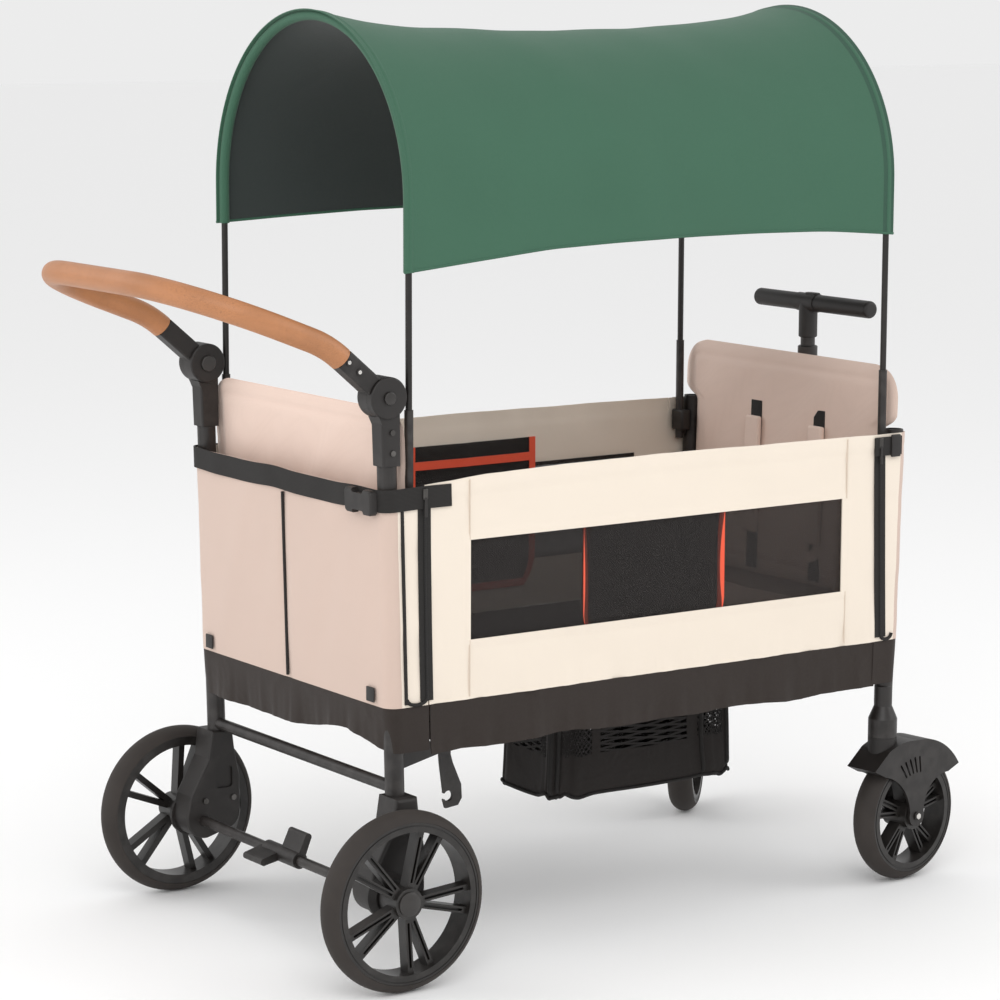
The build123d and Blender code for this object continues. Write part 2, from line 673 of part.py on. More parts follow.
def arm_point(distance, y):
    """A point on the handle arm's centre line."""
    a = radians(ARM_ANGLE)
    return (PIVOT_X + distance * cos(a), y, PIVOT_Z + distance * sin(a))


def handle_path():
    """The handle's centre line from one knuckle round to the other."""
    with BuildLine() as path:
        FilletPolyline(
            arm_point(TUBE_START, RIGHT * POST_Y), (BEND_X, RIGHT * POST_Y, BEND_Z),
            (BAR_X, RIGHT * POST_Y, BAR_Z), (BAR_X, POST_Y, BAR_Z), (BEND_X, POST_Y, BEND_Z),
            arm_point(TUBE_START, POST_Y), radius=[BEND_R, CORNER_R, CORNER_R, BEND_R],
        )
    return path


def round_bar(path, radius):
    """A solid round bar along a path."""
    with BuildPart() as bar:
        with BuildSketch(Plane(origin=path @ 0, z_dir=path % 0)):
            Circle(radius)
        sweep(path=path)
    return bar


def handle_tube():
    return round_bar(handle_path().wires()[0], HANDLE_R)


def handle_grip():
    """The padded sleeve covers the tube from bend to bend."""
    edges = handle_path().edges()
    path = Wire(edges.sort_by(lambda edge: -abs(edge.center().X))[:-2])
    with BuildPart() as grip:
        add(round_bar(path, GRIP_R).part)
        add(round_bar(path, HANDLE_R + FIT).part, mode=Mode.SUBTRACT)
    return grip


def handle_base(side):
    """The fixed half of the knuckle with its housing over the post's top."""
    with BuildPart() as base:
        with BuildSketch(side_view(side, HOUSING_IN, HOUSING_OUT)):
            with BuildLine():
                Polyline(
                    (5, SPIGOT_Z + GAP), (31.5, SPIGOT_Z + GAP), (31, 722), (PIVOT_X + 19, PIVOT_Z - 16),
                    (PIVOT_X - 16, PIVOT_Z - 17), (3, 715), (5, SPIGOT_Z + GAP),
                )
            make_face()
        extrude(amount=HOUSING_OUT - HOUSING_IN)
        fillet(base.edges().filter_by(Axis.Z, tolerance=8), radius=3)
        # room for the moving half
        with BuildSketch(side_view(side, HOUSING_IN - 1, DISC_SPLIT + 0.25)):
            with Locations((PIVOT_X, PIVOT_Z)):
                Circle(KNUCKLE_DISC_R + 0.6)
        extrude(amount=DISC_SPLIT + 0.25 - HOUSING_IN + 1, mode=Mode.SUBTRACT)
        with BuildSketch(side_view(side, DISC_SPLIT + 0.25, DISC_OUT)):
            with Locations((PIVOT_X, PIVOT_Z)):
                Circle(KNUCKLE_DISC_R)
        extrude(amount=DISC_OUT - DISC_SPLIT - 0.25)
        rims = base.edges().filter_by(GeomType.CIRCLE).sort_by(Axis.Y)
        fillet(rims[-1 if side == LEFT else 0], radius=2.5)
        with BuildSketch(spanwise(side, DISC_OUT - 2, DISC_OUT + 2, PIVOT_X, PIVOT_Z)):
            Circle(7)
        extrude(amount=4)
        with BuildSketch(spanwise(side, 220.5, DISC_OUT - 2, PIVOT_X, PIVOT_Z)):
            Circle(STUB_R)
        extrude(amount=DISC_OUT - 2 - 220.5)
        with BuildSketch(REAR.offset(600 - REAR_FOOT_Z)):
            with Locations((0, side * POST_Y)):
                Circle(SPIGOT_R + FIT)
        extrude(amount=REAR_POST_TOP + GAP - 600, mode=Mode.SUBTRACT)
    return base


def handle_arm(side):
    """The moving half of the knuckle with its arm; the tilt button sits in its inner face."""
    a = radians(ARM_ANGLE)
    along = Plane(
        origin=(PIVOT_X, HOUSING_OUT if side == LEFT else -HOUSING_IN, PIVOT_Z),
        x_dir=(cos(a), 0, sin(a)), z_dir=(0, -1, 0),
    )
    with BuildPart() as arm:
        with BuildSketch(along):
            with Locations(((ARM_END + 10) / 2, 0)):
                Rectangle(ARM_END - 10, HOUSING_W)
        extrude(amount=HOUSING_OUT - HOUSING_IN)
        fillet(arm.edges().filter_by(lambda edge: abs(edge.tangent_at(0.5).dot(along.x_dir)) > 0.99), radius=3.5)
        # room for the fixed half
        with BuildSketch(side_view(side, DISC_SPLIT, HOUSING_OUT + 1)):
            with Locations((PIVOT_X, PIVOT_Z)):
                Circle(KNUCKLE_DISC_R + 0.6)
        extrude(amount=HOUSING_OUT + 1 - DISC_SPLIT, mode=Mode.SUBTRACT)
        with BuildSketch(side_view(side, DISC_IN, DISC_SPLIT)):
            with Locations((PIVOT_X, PIVOT_Z)):
                Circle(KNUCKLE_DISC_R)
        extrude(amount=DISC_SPLIT - DISC_IN)
        rims = arm.edges().filter_by(GeomType.CIRCLE).sort_by(Axis.Y)
        fillet(rims[0 if side == LEFT else -1], radius=2.5)
        with BuildSketch(spanwise(side, DISC_IN - 1, DISC_IN + 8.3, PIVOT_X, PIVOT_Z)):
            Circle(TILT_BUTTON_R + FIT)
        extrude(amount=9.3, mode=Mode.SUBTRACT)
        with BuildSketch(spanwise(side, 220.0, DISC_SPLIT + 1, PIVOT_X, PIVOT_Z)):
            Circle(STUB_R + FIT)
        extrude(amount=DISC_SPLIT + 1 - 220, mode=Mode.SUBTRACT)
        with BuildSketch(Plane(origin=arm_point(TUBE_START - GAP, side * POST_Y), z_dir=(cos(a), 0, sin(a)))):
            Circle(HANDLE_R + FIT)
        extrude(amount=60, mode=Mode.SUBTRACT)
    return arm


def tilt_button(side):
    with BuildPart() as button:
        with BuildSketch(spanwise(side, DISC_IN - 3.8, DISC_IN + TILT_TRAVEL, PIVOT_X, PIVOT_Z)):
            Circle(TILT_BUTTON_R)
        extrude(amount=3.8 + TILT_TRAVEL)
        face = button.faces().sort_by(Axis.Y)[0 if side == LEFT else -1]
        fillet(face.edges(), radius=1.5)
    return button


# ---- pull handle ---------------------------------------------------------------------------
def pull_bracket():
    """A clevis clamped on the front cross tube."""
    cross_x = front_at(FRONT_CROSS_Z)
    with BuildPart() as bracket:
        with BuildSketch(side_view(LEFT, 0, 16)):
            with Locations((cross_x, FRONT_CROSS_Z)):
                Circle(14)
            with BuildLine():
                Polyline(
                    (cross_x, FRONT_CROSS_Z + 11), (PULL_X, PULL_PIVOT_Z + 12), (PULL_X, PULL_PIVOT_Z - 12),
                    (cross_x, FRONT_CROSS_Z - 13), close=True,
                )
            make_face()
            with Locations((PULL_X, PULL_PIVOT_Z)):
                Circle(12)
            with Locations((cross_x, FRONT_CROSS_Z)):
                Circle(POST_R + FIT, mode=Mode.SUBTRACT)
        extrude(amount=32)
        with BuildSketch(Plane.XY.offset(PULL_PIVOT_Z - 20)):
            with Locations((PULL_X + 1, 0)):
                Rectangle(34, 20)
        extrude(amount=60, mode=Mode.SUBTRACT)
        with BuildSketch(spanwise(LEFT, 0, 15, PULL_X, PULL_PIVOT_Z)):
            Circle(5)
        extrude(amount=30)
    return bracket


def pull_tube_outer():
    """The outer tube swings on its eye and ends in a lock collar."""
    with BuildPart() as tube:
        with BuildSketch(side_view(LEFT, 0, 9.5)):
            with Locations((PULL_X, PULL_PIVOT_Z)):
                Circle(11.5)
            with Locations((PULL_X, PULL_PIVOT_Z + 12)):
                Rectangle(20, 24)
        extrude(amount=19)
        with BuildSketch(Plane.XY.offset(PULL_PIVOT_Z + 18)):
            with Locations((PULL_X, 0)):
                Circle(OUTER_R)
        extrude(amount=COLLAR_LOW - PULL_PIVOT_Z - 18)
        with BuildSketch(Plane.XY.offset(COLLAR_LOW)):
            with Locations((PULL_X, 0)):
                Circle(COLLAR_R)
        extrude(amount=OUTER_TOP - COLLAR_LOW)
        chamfer(tube.faces().sort_by(Axis.Z)[-1].edges(), length=1.5)
        with BuildSketch(Plane.XY.offset(PULL_PIVOT_Z + 30)):
            with Locations((PULL_X, 0)):
                Circle(INNER_R + FIT)
        extrude(amount=OUTER_TOP - PULL_PIVOT_Z, mode=Mode.SUBTRACT)
        with BuildSketch(spanwise(LEFT, 0, 12, PULL_X, PULL_PIVOT_Z)):
            Circle(5 + FIT)
        extrude(amount=24, mode=Mode.SUBTRACT)
    return tube


def pull_tube_inner():
    with BuildPart() as tube:
        with BuildSketch(Plane.XY.offset(400)):
            with Locations((PULL_X, 0)):
                Circle(INNER_R)
                Circle(INNER_R - POST_WALL, mode=Mode.SUBTRACT)
        extrude(amount=NECK_TOP + 14 - 400)
    return tube


BUTTON_Y, BUTTON_TOP = -9.0, 814.5


def pull_grip():
    """The T grip, moulded with the socket that holds the inner tube."""
    length = PULL_BAR_HIGH_Y - PULL_BAR_LOW_Y
    with BuildPart() as grip:
        with BuildSketch(Plane(origin=(PULL_X, PULL_BAR_HIGH_Y, BAR_CENTRE_Z), x_dir=(1, 0, 0), z_dir=(0, -1, 0))):
            Circle(PULL_BAR_R)
        extrude(amount=length)
        fillet(grip.edges().filter_by(GeomType.CIRCLE), radius=5)
        with BuildSketch(Plane(origin=(PULL_X, 20, BAR_CENTRE_Z), x_dir=(1, 0, 0), z_dir=(0, -1, 0))):
            Circle(PULL_BAR_R + 0.9)
        extrude(amount=42)
        with BuildSketch(Plane.XY.offset(NECK_TOP)):
            with Locations((PULL_X, 0)):
                Circle(13.4)
        extrude(amount=BAR_CENTRE_Z - NECK_TOP)
        chamfer(grip.faces().sort_by(Axis.Z)[0].edges(), length=1.5)
        with BuildSketch(Plane.XY.offset(NECK_TOP - 1)):
            with Locations((PULL_X, 0)):
                Circle(INNER_R + FIT)
        extrude(amount=15 + GAP, mode=Mode.SUBTRACT)
        with BuildSketch(Plane.XY.offset(BUTTON_TOP - 10)):
            with Locations((PULL_X, BUTTON_Y)):
                RectangleRounded(13, 25, 5)
        extrude(amount=20, mode=Mode.SUBTRACT)
    return grip


def pull_button():
    with BuildPart() as button:
        with BuildSketch(Plane.XY.offset(BUTTON_TOP - 6)):
            with Locations((PULL_X, BUTTON_Y)):
                RectangleRounded(12.4, 24.4, 4.7)
        extrude(amount=6)
        fillet(button.faces().sort_by(Axis.Z)[-1].edges(), radius=1.2)
    return button


# ---- brake and hook ------------------------------------------------------------------------
def brake_shaft():
    with BuildPart() as shaft:
        with BuildSketch(spanwise(LEFT, 0, 235.0, 0, BRAKE_Z)):
            Circle(BRAKE_R)
        extrude(amount=470)
    return shaft


def brake_pedal():
    """A rocker on the shaft: one lobe lies back and low, the other stands up and forward."""
    with BuildPart() as pedal:
        with BuildSketch(spanwise(LEFT, 0, 40.0, 0, BRAKE_Z)):
            Circle(BRAKE_R + 4)
        extrude(amount=82)
        for low_y, high_y, tip in ((-42.0, 2.0, (13, 30)), (0.0, 47.0, (-30, -7))):
            with BuildSketch(Plane(origin=(0, high_y, BRAKE_Z), x_dir=(1, 0, 0), z_dir=(0, -1, 0))):
                with BuildLine():
                    reach = hypot(*tip)
                    side_x, side_z = -tip[1] / reach * 6, tip[0] / reach * 6
                    Polyline(
                        (side_x, side_z), (tip[0] + side_x * 0.8, tip[1] + side_z * 0.8),
                        (tip[0] - side_x * 0.8, tip[1] - side_z * 0.8), (-side_x, -side_z), close=True,
                    )
                make_face()
                with Locations(tip):
                    Circle(5)
            extrude(amount=high_y - low_y)
        with BuildSketch(spanwise(LEFT, 0, 60.0, 0, BRAKE_Z)):
            Circle(BRAKE_R + FIT)
        extrude(amount=120, mode=Mode.SUBTRACT)
    return pedal


def fold_hook():
    """A flat hook that holds the folded frame shut."""
    with BuildPart() as hook:
        with BuildSketch(side_view(RIGHT, HOOK_IN, HOOK_OUT)):
            with BuildLine():
                Polyline((110, 286), (124, 286), (131, 262), (144, 232), (145, 214), (139, 205), (120, 203))
                Polyline((120, 203), (117, 213), (117, 226), (112, 262), (110, 286))
            make_face()
            with Locations((HOOK_X, HOOK_Z)):
                Circle(8)
                Circle(MID_PIN_R + FIT, mode=Mode.SUBTRACT)
            with Locations((124, 219)):
                Circle(7, mode=Mode.SUBTRACT)
            with Locations((116, 219)):
                Rectangle(16, 8, mode=Mode.SUBTRACT)
        extrude(amount=HOOK_OUT - HOOK_IN)
    return hook


# ---- canopy --------------------------------------------------------------------------------
def hoop(x):
    """One rod bent into an arch; its legs plug into the sockets."""
    spring = HOOP_TOP - ROD_Y
    with BuildLine() as path:
        Line((x, -ROD_Y, ROD_LOW), (x, -ROD_Y, spring))
        ThreePointArc((x, -ROD_Y, spring), (x, 0, HOOP_TOP), (x, ROD_Y, spring))
        Line((x, ROD_Y, spring), (x, ROD_Y, ROD_LOW))
    return round_bar(path.wires()[0], ROD_R)


def canopy_fabric():
    """One curved sheet over both hoops."""
    spring = HOOP_TOP - ROD_Y
    inner = ROD_Y + ROD_R + GAP
    with BuildPart() as sheet:
        with BuildSketch(Plane(origin=(CANOPY_BACK, 0, 0), x_dir=(0, 1, 0), z_dir=(1, 0, 0))):
            for radius, mode in ((inner + CANOPY_CLOTH, Mode.ADD), (inner, Mode.SUBTRACT)):
                with BuildLine():
                    Line((-radius, CANOPY_HEM), (-radius, spring))
                    ThreePointArc((-radius, spring), (0, spring + radius), (radius, spring))
                    Line((radius, spring), (radius, CANOPY_HEM))
                    Line((radius, CANOPY_HEM), (-radius, CANOPY_HEM))
                make_face(mode=mode)
        extrude(amount=CANOPY_FRONT - CANOPY_BACK)
    return sheet


# ---- everything ----------------------------------------------------------------------------
def main():
    os.makedirs("parts", exist_ok=True)
    for name, side in SIDES.items():
        outward = -side
        rear_centre = (0, side * REAR_Y, REAR_RADIUS)
        caster, turn = caster_centre(side), CASTER_TURN[side]
        save(rear_upright(side), f"rear_upright_{name}")
        save(front_upright(side), f"front_upright_{name}")
        save(wheel_bracket(side), f"wheel_bracket_{name}")
        save(handle_base(side), f"handle_base_{name}")
        save(handle_arm(side), f"handle_arm_{name}")
        save(tilt_button(side), f"tilt_button_{name}")
        save(side_panel(side), f"side_panel_{name}")
        save(tyre(rear_centre, 0, REAR_RADIUS, REAR_WIDTH), f"rear_tyre_{name}")
        save(rim(rear_centre, 0, outward, REAR_RADIUS, REAR_WIDTH, -23, 17.2, (-6, 12), -5), f"rear_rim_{name}")
        save(hub_cap(side), f"hub_cap_{name}")
        save(caster_fork(side), f"caster_fork_{name}")
        save(tyre(caster, turn, CASTER_RADIUS, CASTER_WIDTH), f"caster_tyre_{name}")
        save(rim(caster, turn, 1, CASTER_RADIUS, CASTER_WIDTH, -21, 21, (-10, 10), 20), f"caster_rim_{name}")
    rear_cross_x = REAR_FOOT_X + (REAR_CROSS_Z - REAR_FOOT_Z) * sin(radians(REAR_LEAN))
    save(cross_tube(REAR, rear_cross_x, REAR_CROSS_Z, CROSS_R), "rear_cross_tube")
    save(cross_tube(FRONT, front_at(FRONT_CROSS_Z), FRONT_CROSS_Z, POST_R), "front_cross_tube")
    save(frame_bolts(), "frame_bolts")
    cloth = (END_BACK, TUB_HALF, CLOTH, END_RADIUS)
    save(end_band(REAR, SEAM_Z, TUB_TOP, -1, REAR_WING, *cloth), "rear_end_panel")
    save(end_band(FRONT, SEAM_Z, TUB_TOP + 7, 1, FRONT_WING, *cloth), "front_end_panel")
    save(backrest(REAR, 16.0, 26.0, 727.0, 36.0), "rear_backrest")
    save(backrest(FRONT, -10.0, 3.0, 731.0, 45.0), "front_backrest")
    pieces = {
        "rear_skirt": rear_skirt,
        "front_skirt": front_skirt,
        "side_skirts": side_skirts,
        "window_meshes": window_meshes,
        "side_pockets": side_pockets,
        "storage_basket": storage_basket,
        "rear_strap": rear_strap,
        "strap_buckle": strap_buckle,
        "harness_pads": harness_pads,
        "handle_tube": handle_tube,
        "handle_grip": handle_grip,
        "pull_bracket": pull_bracket,
        "pull_tube_outer": pull_tube_outer,
        "pull_tube_inner": pull_tube_inner,
        "pull_grip": pull_grip,
        "pull_button": pull_button,
        "brake_shaft": brake_shaft,
        "brake_pedal": brake_pedal,
        "fold_hook": fold_hook,
        "canopy_fabric": canopy_fabric,
    }
    for name, make in pieces.items():
        save(make(), name)
    for end in ("rear", "front"):
        save(floor_panel(end), f"floor_panel_{end}")
        save(seat_cushion(end), f"seat_cushion_{end}")
    save(hoop(REAR_ROD_X), "canopy_hoop_rear")
    save(hoop(FRONT_ROD_X), "canopy_hoop_front")


main()
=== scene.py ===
"""Looks of a folding wagon with push handle, pull handle and canopy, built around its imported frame."""

import json
import logging
import math
from dataclasses import dataclass, field
from enum import Enum
from typing import Callable, Iterable, Sequence

import bpy
import numpy as np
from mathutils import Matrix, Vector

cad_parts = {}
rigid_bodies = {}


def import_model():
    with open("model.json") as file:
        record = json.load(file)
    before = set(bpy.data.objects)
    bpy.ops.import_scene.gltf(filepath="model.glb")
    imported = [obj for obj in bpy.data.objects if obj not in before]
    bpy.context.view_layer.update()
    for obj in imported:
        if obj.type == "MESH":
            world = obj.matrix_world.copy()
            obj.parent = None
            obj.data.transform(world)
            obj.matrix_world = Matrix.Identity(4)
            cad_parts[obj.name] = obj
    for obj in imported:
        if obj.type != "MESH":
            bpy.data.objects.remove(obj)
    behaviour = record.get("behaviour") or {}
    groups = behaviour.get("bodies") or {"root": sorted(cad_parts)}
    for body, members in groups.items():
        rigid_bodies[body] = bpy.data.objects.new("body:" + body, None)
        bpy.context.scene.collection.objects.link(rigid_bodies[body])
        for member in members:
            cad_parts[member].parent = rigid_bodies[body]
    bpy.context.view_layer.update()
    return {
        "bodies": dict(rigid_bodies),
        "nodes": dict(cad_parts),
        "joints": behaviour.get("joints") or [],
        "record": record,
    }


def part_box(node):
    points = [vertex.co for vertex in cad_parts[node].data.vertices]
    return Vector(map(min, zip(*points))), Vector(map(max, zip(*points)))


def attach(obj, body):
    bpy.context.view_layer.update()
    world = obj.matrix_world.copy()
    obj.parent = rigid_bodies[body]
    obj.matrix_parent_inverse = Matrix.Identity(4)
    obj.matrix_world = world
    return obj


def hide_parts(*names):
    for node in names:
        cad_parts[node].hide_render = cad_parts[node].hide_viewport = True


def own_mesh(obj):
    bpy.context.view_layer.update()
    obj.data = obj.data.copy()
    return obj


log = logging.getLogger("wagon")

Point = tuple[float, float, float]
Colour = tuple[float, float, float]


class Side(Enum):
    """The wagon's two sides, by the sign of Y."""

    LEFT = 1
    RIGHT = -1

    @property
    def word(self) -> str:
        """The side's name in lower case."""
        return self.name.lower()


# ---- shader building ------------------------------------------------------------------------


def linear(hex_colour: str) -> Colour:
    """Turn a screen colour such as "4a745f" into linear light."""
    parts = [int(hex_colour[i : i + 2], 16) / 255 for i in (0, 2, 4)]
    return tuple(c / 12.92 if c <= 0.04045 else ((c + 0.055) / 1.055) ** 2.4 for c in parts)


class Graph:
    """A short way to add and join the nodes of one tree."""

    def __init__(self, tree: bpy.types.NodeTree) -> None:
        """Keep the tree."""
        self.tree = tree

    def add(self, kind: str, inputs: dict | None = None, **settings: object) -> bpy.types.Node:
        """Add a node.

        Args:
            kind: The node's type name without its ShaderNode prefix.
            inputs: Socket name or index to a value or to another node's output.
            settings: Properties of the node itself.

        Returns:
            The new node.
        """
        node = self.tree.nodes.new(kind if kind.startswith("NodeGroup") else f"ShaderNode{kind}")
        for key, value in settings.items():
            setattr(node, key, value)
        for key, value in (inputs or {}).items():
            if isinstance(value, bpy.types.NodeSocket):
                self.tree.links.new(value, node.inputs[key])
            else:
                node.inputs[key].default_value = value
        return node

    def math(self, operation: str, *values: object) -> bpy.types.NodeSocket:
        """Add a Math node with these values or sockets and return its output."""
        return self.add("Math", dict(enumerate(values)), operation=operation).outputs[0]

    def ramp(self, factor: bpy.types.NodeSocket, low: float, high: float) -> bpy.types.NodeSocket:
        """Map a value from low..high to 0..1, smoothly and clamped."""
        inputs = {"Value": factor, "From Min": low, "From Max": high}
        return self.add("MapRange", inputs, interpolation_type="SMOOTHSTEP").outputs["Result"]

    def mix(self, factor: object, a: object, b: object) -> bpy.types.NodeSocket:
        """Mix two colours and return the result."""
        node = self.add("Mix", data_type="RGBA")
        for index, value in ((0, factor), (6, a), (7, b)):
            if isinstance(value, bpy.types.NodeSocket):
                self.tree.links.new(value, node.inputs[index])
            elif index == 0:
                node.inputs[index].default_value = value
            else:
                node.inputs[index].default_value = (*value, 1)
        return node.outputs[2]


def new_group(
    name: str, inputs: dict[str, tuple[str, object]], outputs: dict[str, str]
) -> bpy.types.NodeTree:
    """Make an empty shader group.

    Args:
        name: The group's name.
        inputs: Socket name to its kind (Float, Vector, Color) and default.
        outputs: Socket name to its kind.

    Returns:
        The group, with its input and output nodes in place.
    """
    group = bpy.data.node_groups.new(name, "ShaderNodeTree")
    for socket, (kind, default) in inputs.items():
        made = group.interface.new_socket(name=socket, in_out="INPUT", socket_type=f"NodeSocket{kind}")
        if default is not None:
            made.default_value = default
    for socket, kind in outputs.items():
        group.interface.new_socket(name=socket, in_out="OUTPUT", socket_type=f"NodeSocket{kind}")
    group.nodes.new("NodeGroupInput")
    group.nodes.new("NodeGroupOutput")
    return group


def ends(group: bpy.types.NodeTree) -> tuple[bpy.types.Node, bpy.types.Node]:
    """The group's input and output nodes."""
    return group.nodes["Group Input"], group.nodes["Group Output"]


def weave_group() -> bpy.types.NodeTree:
    """Crossed threads: Height of the weave and Thread, a 0..1 mask of the raised threads."""
    group = new_group(
        "weave",
        {"Vector": ("Vector", None), "Pitch": ("Float", 0.001)},
        {"Height": "Float", "Thread": "Float"},
    )
    graph, (source, sink) = Graph(group), ends(group)
    parts = graph.add("SeparateXYZ", {0: source.outputs["Vector"]})
    waves = []
    for axis in ("X", "Y"):
        turns = graph.math("DIVIDE", parts.outputs[axis], source.outputs["Pitch"])
        waves.append(graph.math("SINE", graph.math("MULTIPLY", turns, math.tau)))
    crossed = graph.math("MULTIPLY", waves[0], waves[1])
    height = graph.math("MULTIPLY_ADD", crossed, 0.5, 0.5)
    group.links.new(height, sink.inputs["Height"])
    group.links.new(graph.ramp(height, 0.3, 0.8), sink.inputs["Thread"])
    return group


def grain_group() -> bpy.types.NodeTree:
    """Moulded or painted grain: a fine Height and a slow Cloud for colour and roughness drift."""
    group = new_group(
        "grain",
        {"Vector": ("Vector", None), "Scale": ("Float", 900.0), "Drift": ("Float", 14.0)},
        {"Height": "Float", "Cloud": "Float"},
    )
    graph, (source, sink) = Graph(group), ends(group)
    fine = graph.add(
        "TexNoise", {"Vector": source.outputs["Vector"], "Scale": source.outputs["Scale"], "Detail": 3.0}
    )
    slow = graph.add(
        "TexNoise", {"Vector": source.outputs["Vector"], "Scale": source.outputs["Drift"], "Detail": 4.0}
    )
    group.links.new(fine.outputs[0], sink.inputs["Height"])
    group.links.new(slow.outputs[0], sink.inputs["Cloud"])
    return group


def wear_group() -> bpy.types.NodeTree:
    """Painted highlight on sharp edges: Mask is 1 on sharp convex edges, broken up by noise."""
    group = new_group("edge_wear", {"Vector": ("Vector", None), "Amount": ("Float", 0.5)}, {"Mask": "Float"})
    graph, (source, sink) = Graph(group), ends(group)
    sharp = graph.ramp(graph.add("NewGeometry").outputs["Pointiness"], 0.52, 0.62)
    patchy = graph.add("TexNoise", {"Vector": source.outputs["Vector"], "Scale": 60.0, "Detail": 5.0})
    broken = graph.math("MULTIPLY", sharp, graph.ramp(patchy.outputs[0], 0.35, 0.65))
    group.links.new(graph.math("MULTIPLY", broken, source.outputs["Amount"]), sink.inputs["Mask"])
    return group


def crease_group() -> bpy.types.NodeTree:
    """Soft creases of cloth in use: Height."""
    group = new_group("crease", {"Vector": ("Vector", None), "Scale": ("Float", 9.0)}, {"Height": "Float"})
    graph, (source, sink) = Graph(group), ends(group)
    bent = graph.add(
        "TexNoise",
        {
            "Vector": source.outputs["Vector"],
            "Scale": source.outputs["Scale"],
            "Detail": 2.0,
            "Distortion": 1.2,
        },
    )
    ridge = graph.math("ABSOLUTE", graph.math("SUBTRACT", bent.outputs[0], 0.5))
    group.links.new(graph.math("POWER", graph.math("MULTIPLY", ridge, 2.0), 1.7), sink.inputs["Height"])
    return group


class Groups:
    """The shared effects, each made once."""

    made: dict[str, bpy.types.NodeTree] = {}
    makers: dict[str, Callable[[], bpy.types.NodeTree]] = {
        "weave": weave_group,
        "grain": grain_group,
        "wear": wear_group,
        "crease": crease_group,
    }

    @classmethod
    def place(cls, graph: Graph, name: str, inputs: dict) -> bpy.types.Node:
        """Put a group into a tree with its own values."""
        if name not in cls.made:
            cls.made[name] = cls.makers[name]()
        node = graph.tree.nodes.new("ShaderNodeGroup")
        node.node_tree = cls.made[name]
        for key, value in inputs.items():
            if isinstance(value, bpy.types.NodeSocket):
                graph.tree.links.new(value, node.inputs[key])
            else:
                node.inputs[key].default_value = value
        return node


def blank(name: str) -> tuple[bpy.types.Material, Graph, bpy.types.Node]:
    """A new node material, its graph and its Principled shader."""
    material = bpy.data.materials.new(name)
    material.use_nodes = True
    shader = material.node_tree.nodes["Principled BSDF"]
    return material, Graph(material.node_tree), shader


@dataclass(frozen=True)
class Hard:
    """Painted metal or moulded plastic."""

    name: str
    colour: str
    roughness: float = 0.45
    metallic: float = 0.0
    grain: float = 0.15
    grain_scale: float = 900.0
    # strength of the painted edge highlight
    wear: float = 0.35
    specular: float = 0.5

    def make(self) -> bpy.types.Material:
        """Build the material."""
        material, graph, shader = blank(self.name)
        place = graph.add("TexCoord").outputs["Object"]
        grain = Groups.place(graph, "grain", {"Vector": place, "Scale": self.grain_scale})
        wear = Groups.place(graph, "wear", {"Vector": place, "Amount": self.wear})
        base = linear(self.colour)
        lighter = tuple(min(1.0, c * 1.35 + 0.003) for c in base)
        # painted highlight: sharp convex edges lightened towards three times the base colour, in place of
        # light caught by rounded edges
        highlight_colour = tuple(min(1.0, c * 3.0 + 0.03) for c in base)
        clouded = graph.mix(graph.ramp(grain.outputs["Cloud"], 0.35, 0.75), base, lighter)
        colour = graph.mix(wear.outputs["Mask"], clouded, highlight_colour)
        rough = graph.math("MULTIPLY_ADD", grain.outputs["Cloud"], 0.16, self.roughness - 0.08)
        bump = graph.add(
            "Bump", {"Height": grain.outputs["Height"], "Strength": self.grain, "Distance": 0.0004}
        )
        graph.tree.links.new(colour, shader.inputs["Base Color"])
        graph.tree.links.new(rough, shader.inputs["Roughness"])
        graph.tree.links.new(bump.outputs[0], shader.inputs["Normal"])
        shader.inputs["Metallic"].default_value = self.metallic
        shader.inputs["Specular IOR Level"].default_value = self.specular
        return material


@dataclass(frozen=True)
class Cloth:
    """Woven cloth; its threads follow the piece's UV map, in metres, or the object's own axes."""

    name: str
    colour: str
    pitch: float = 0.0011
    thread: float = 0.12
    crease: float = 0.35
    crease_scale: float = 7.0
    roughness: float = 0.85
    sheen: float = 0.25
    uv: bool = True

    def make(self) -> bpy.types.Material:
        """Build the material."""
        material, graph, shader = blank(self.name)
        source = graph.add("TexCoord")
        place = source.outputs["Object"]
        along = source.outputs["UV" if self.uv else "Object"]
        weave = Groups.place(graph, "weave", {"Vector": along, "Pitch": self.pitch})
        crease = Groups.place(graph, "crease", {"Vector": place, "Scale": self.crease_scale})
        drift = Groups.place(graph, "grain", {"Vector": place, "Scale": 260.0, "Drift": 11.0})
        base = linear(self.colour)
        dark = tuple(c * (1 - self.thread) for c in base)
        light = tuple(min(1.0, c * (1 + self.thread * 0.4)) for c in base)
        threads = graph.mix(weave.outputs["Thread"], dark, light)
        shaded = graph.mix(graph.ramp(drift.outputs["Cloud"], 0.3, 0.8), threads, dark)
        colour = graph.mix(0.35, threads, shaded)
        small = graph.add("Bump", {"Height": weave.outputs["Height"], "Strength": 0.25, "Distance": 0.0003})
        large = graph.add(
            "Bump",
            {
                "Height": crease.outputs["Height"], "Strength": self.crease, "Distance": 0.006,
                "Normal": small.outputs[0],
            },
        )
        rough = graph.math("MULTIPLY_ADD", drift.outputs["Height"], 0.12, self.roughness - 0.06)
        graph.tree.links.new(colour, shader.inputs["Base Color"])
        graph.tree.links.new(rough, shader.inputs["Roughness"])
        graph.tree.links.new(large.outputs[0], shader.inputs["Normal"])
        shader.inputs["Sheen Weight"].default_value = self.sheen
        shader.inputs["Sheen Roughness"].default_value = 0.45
        return material


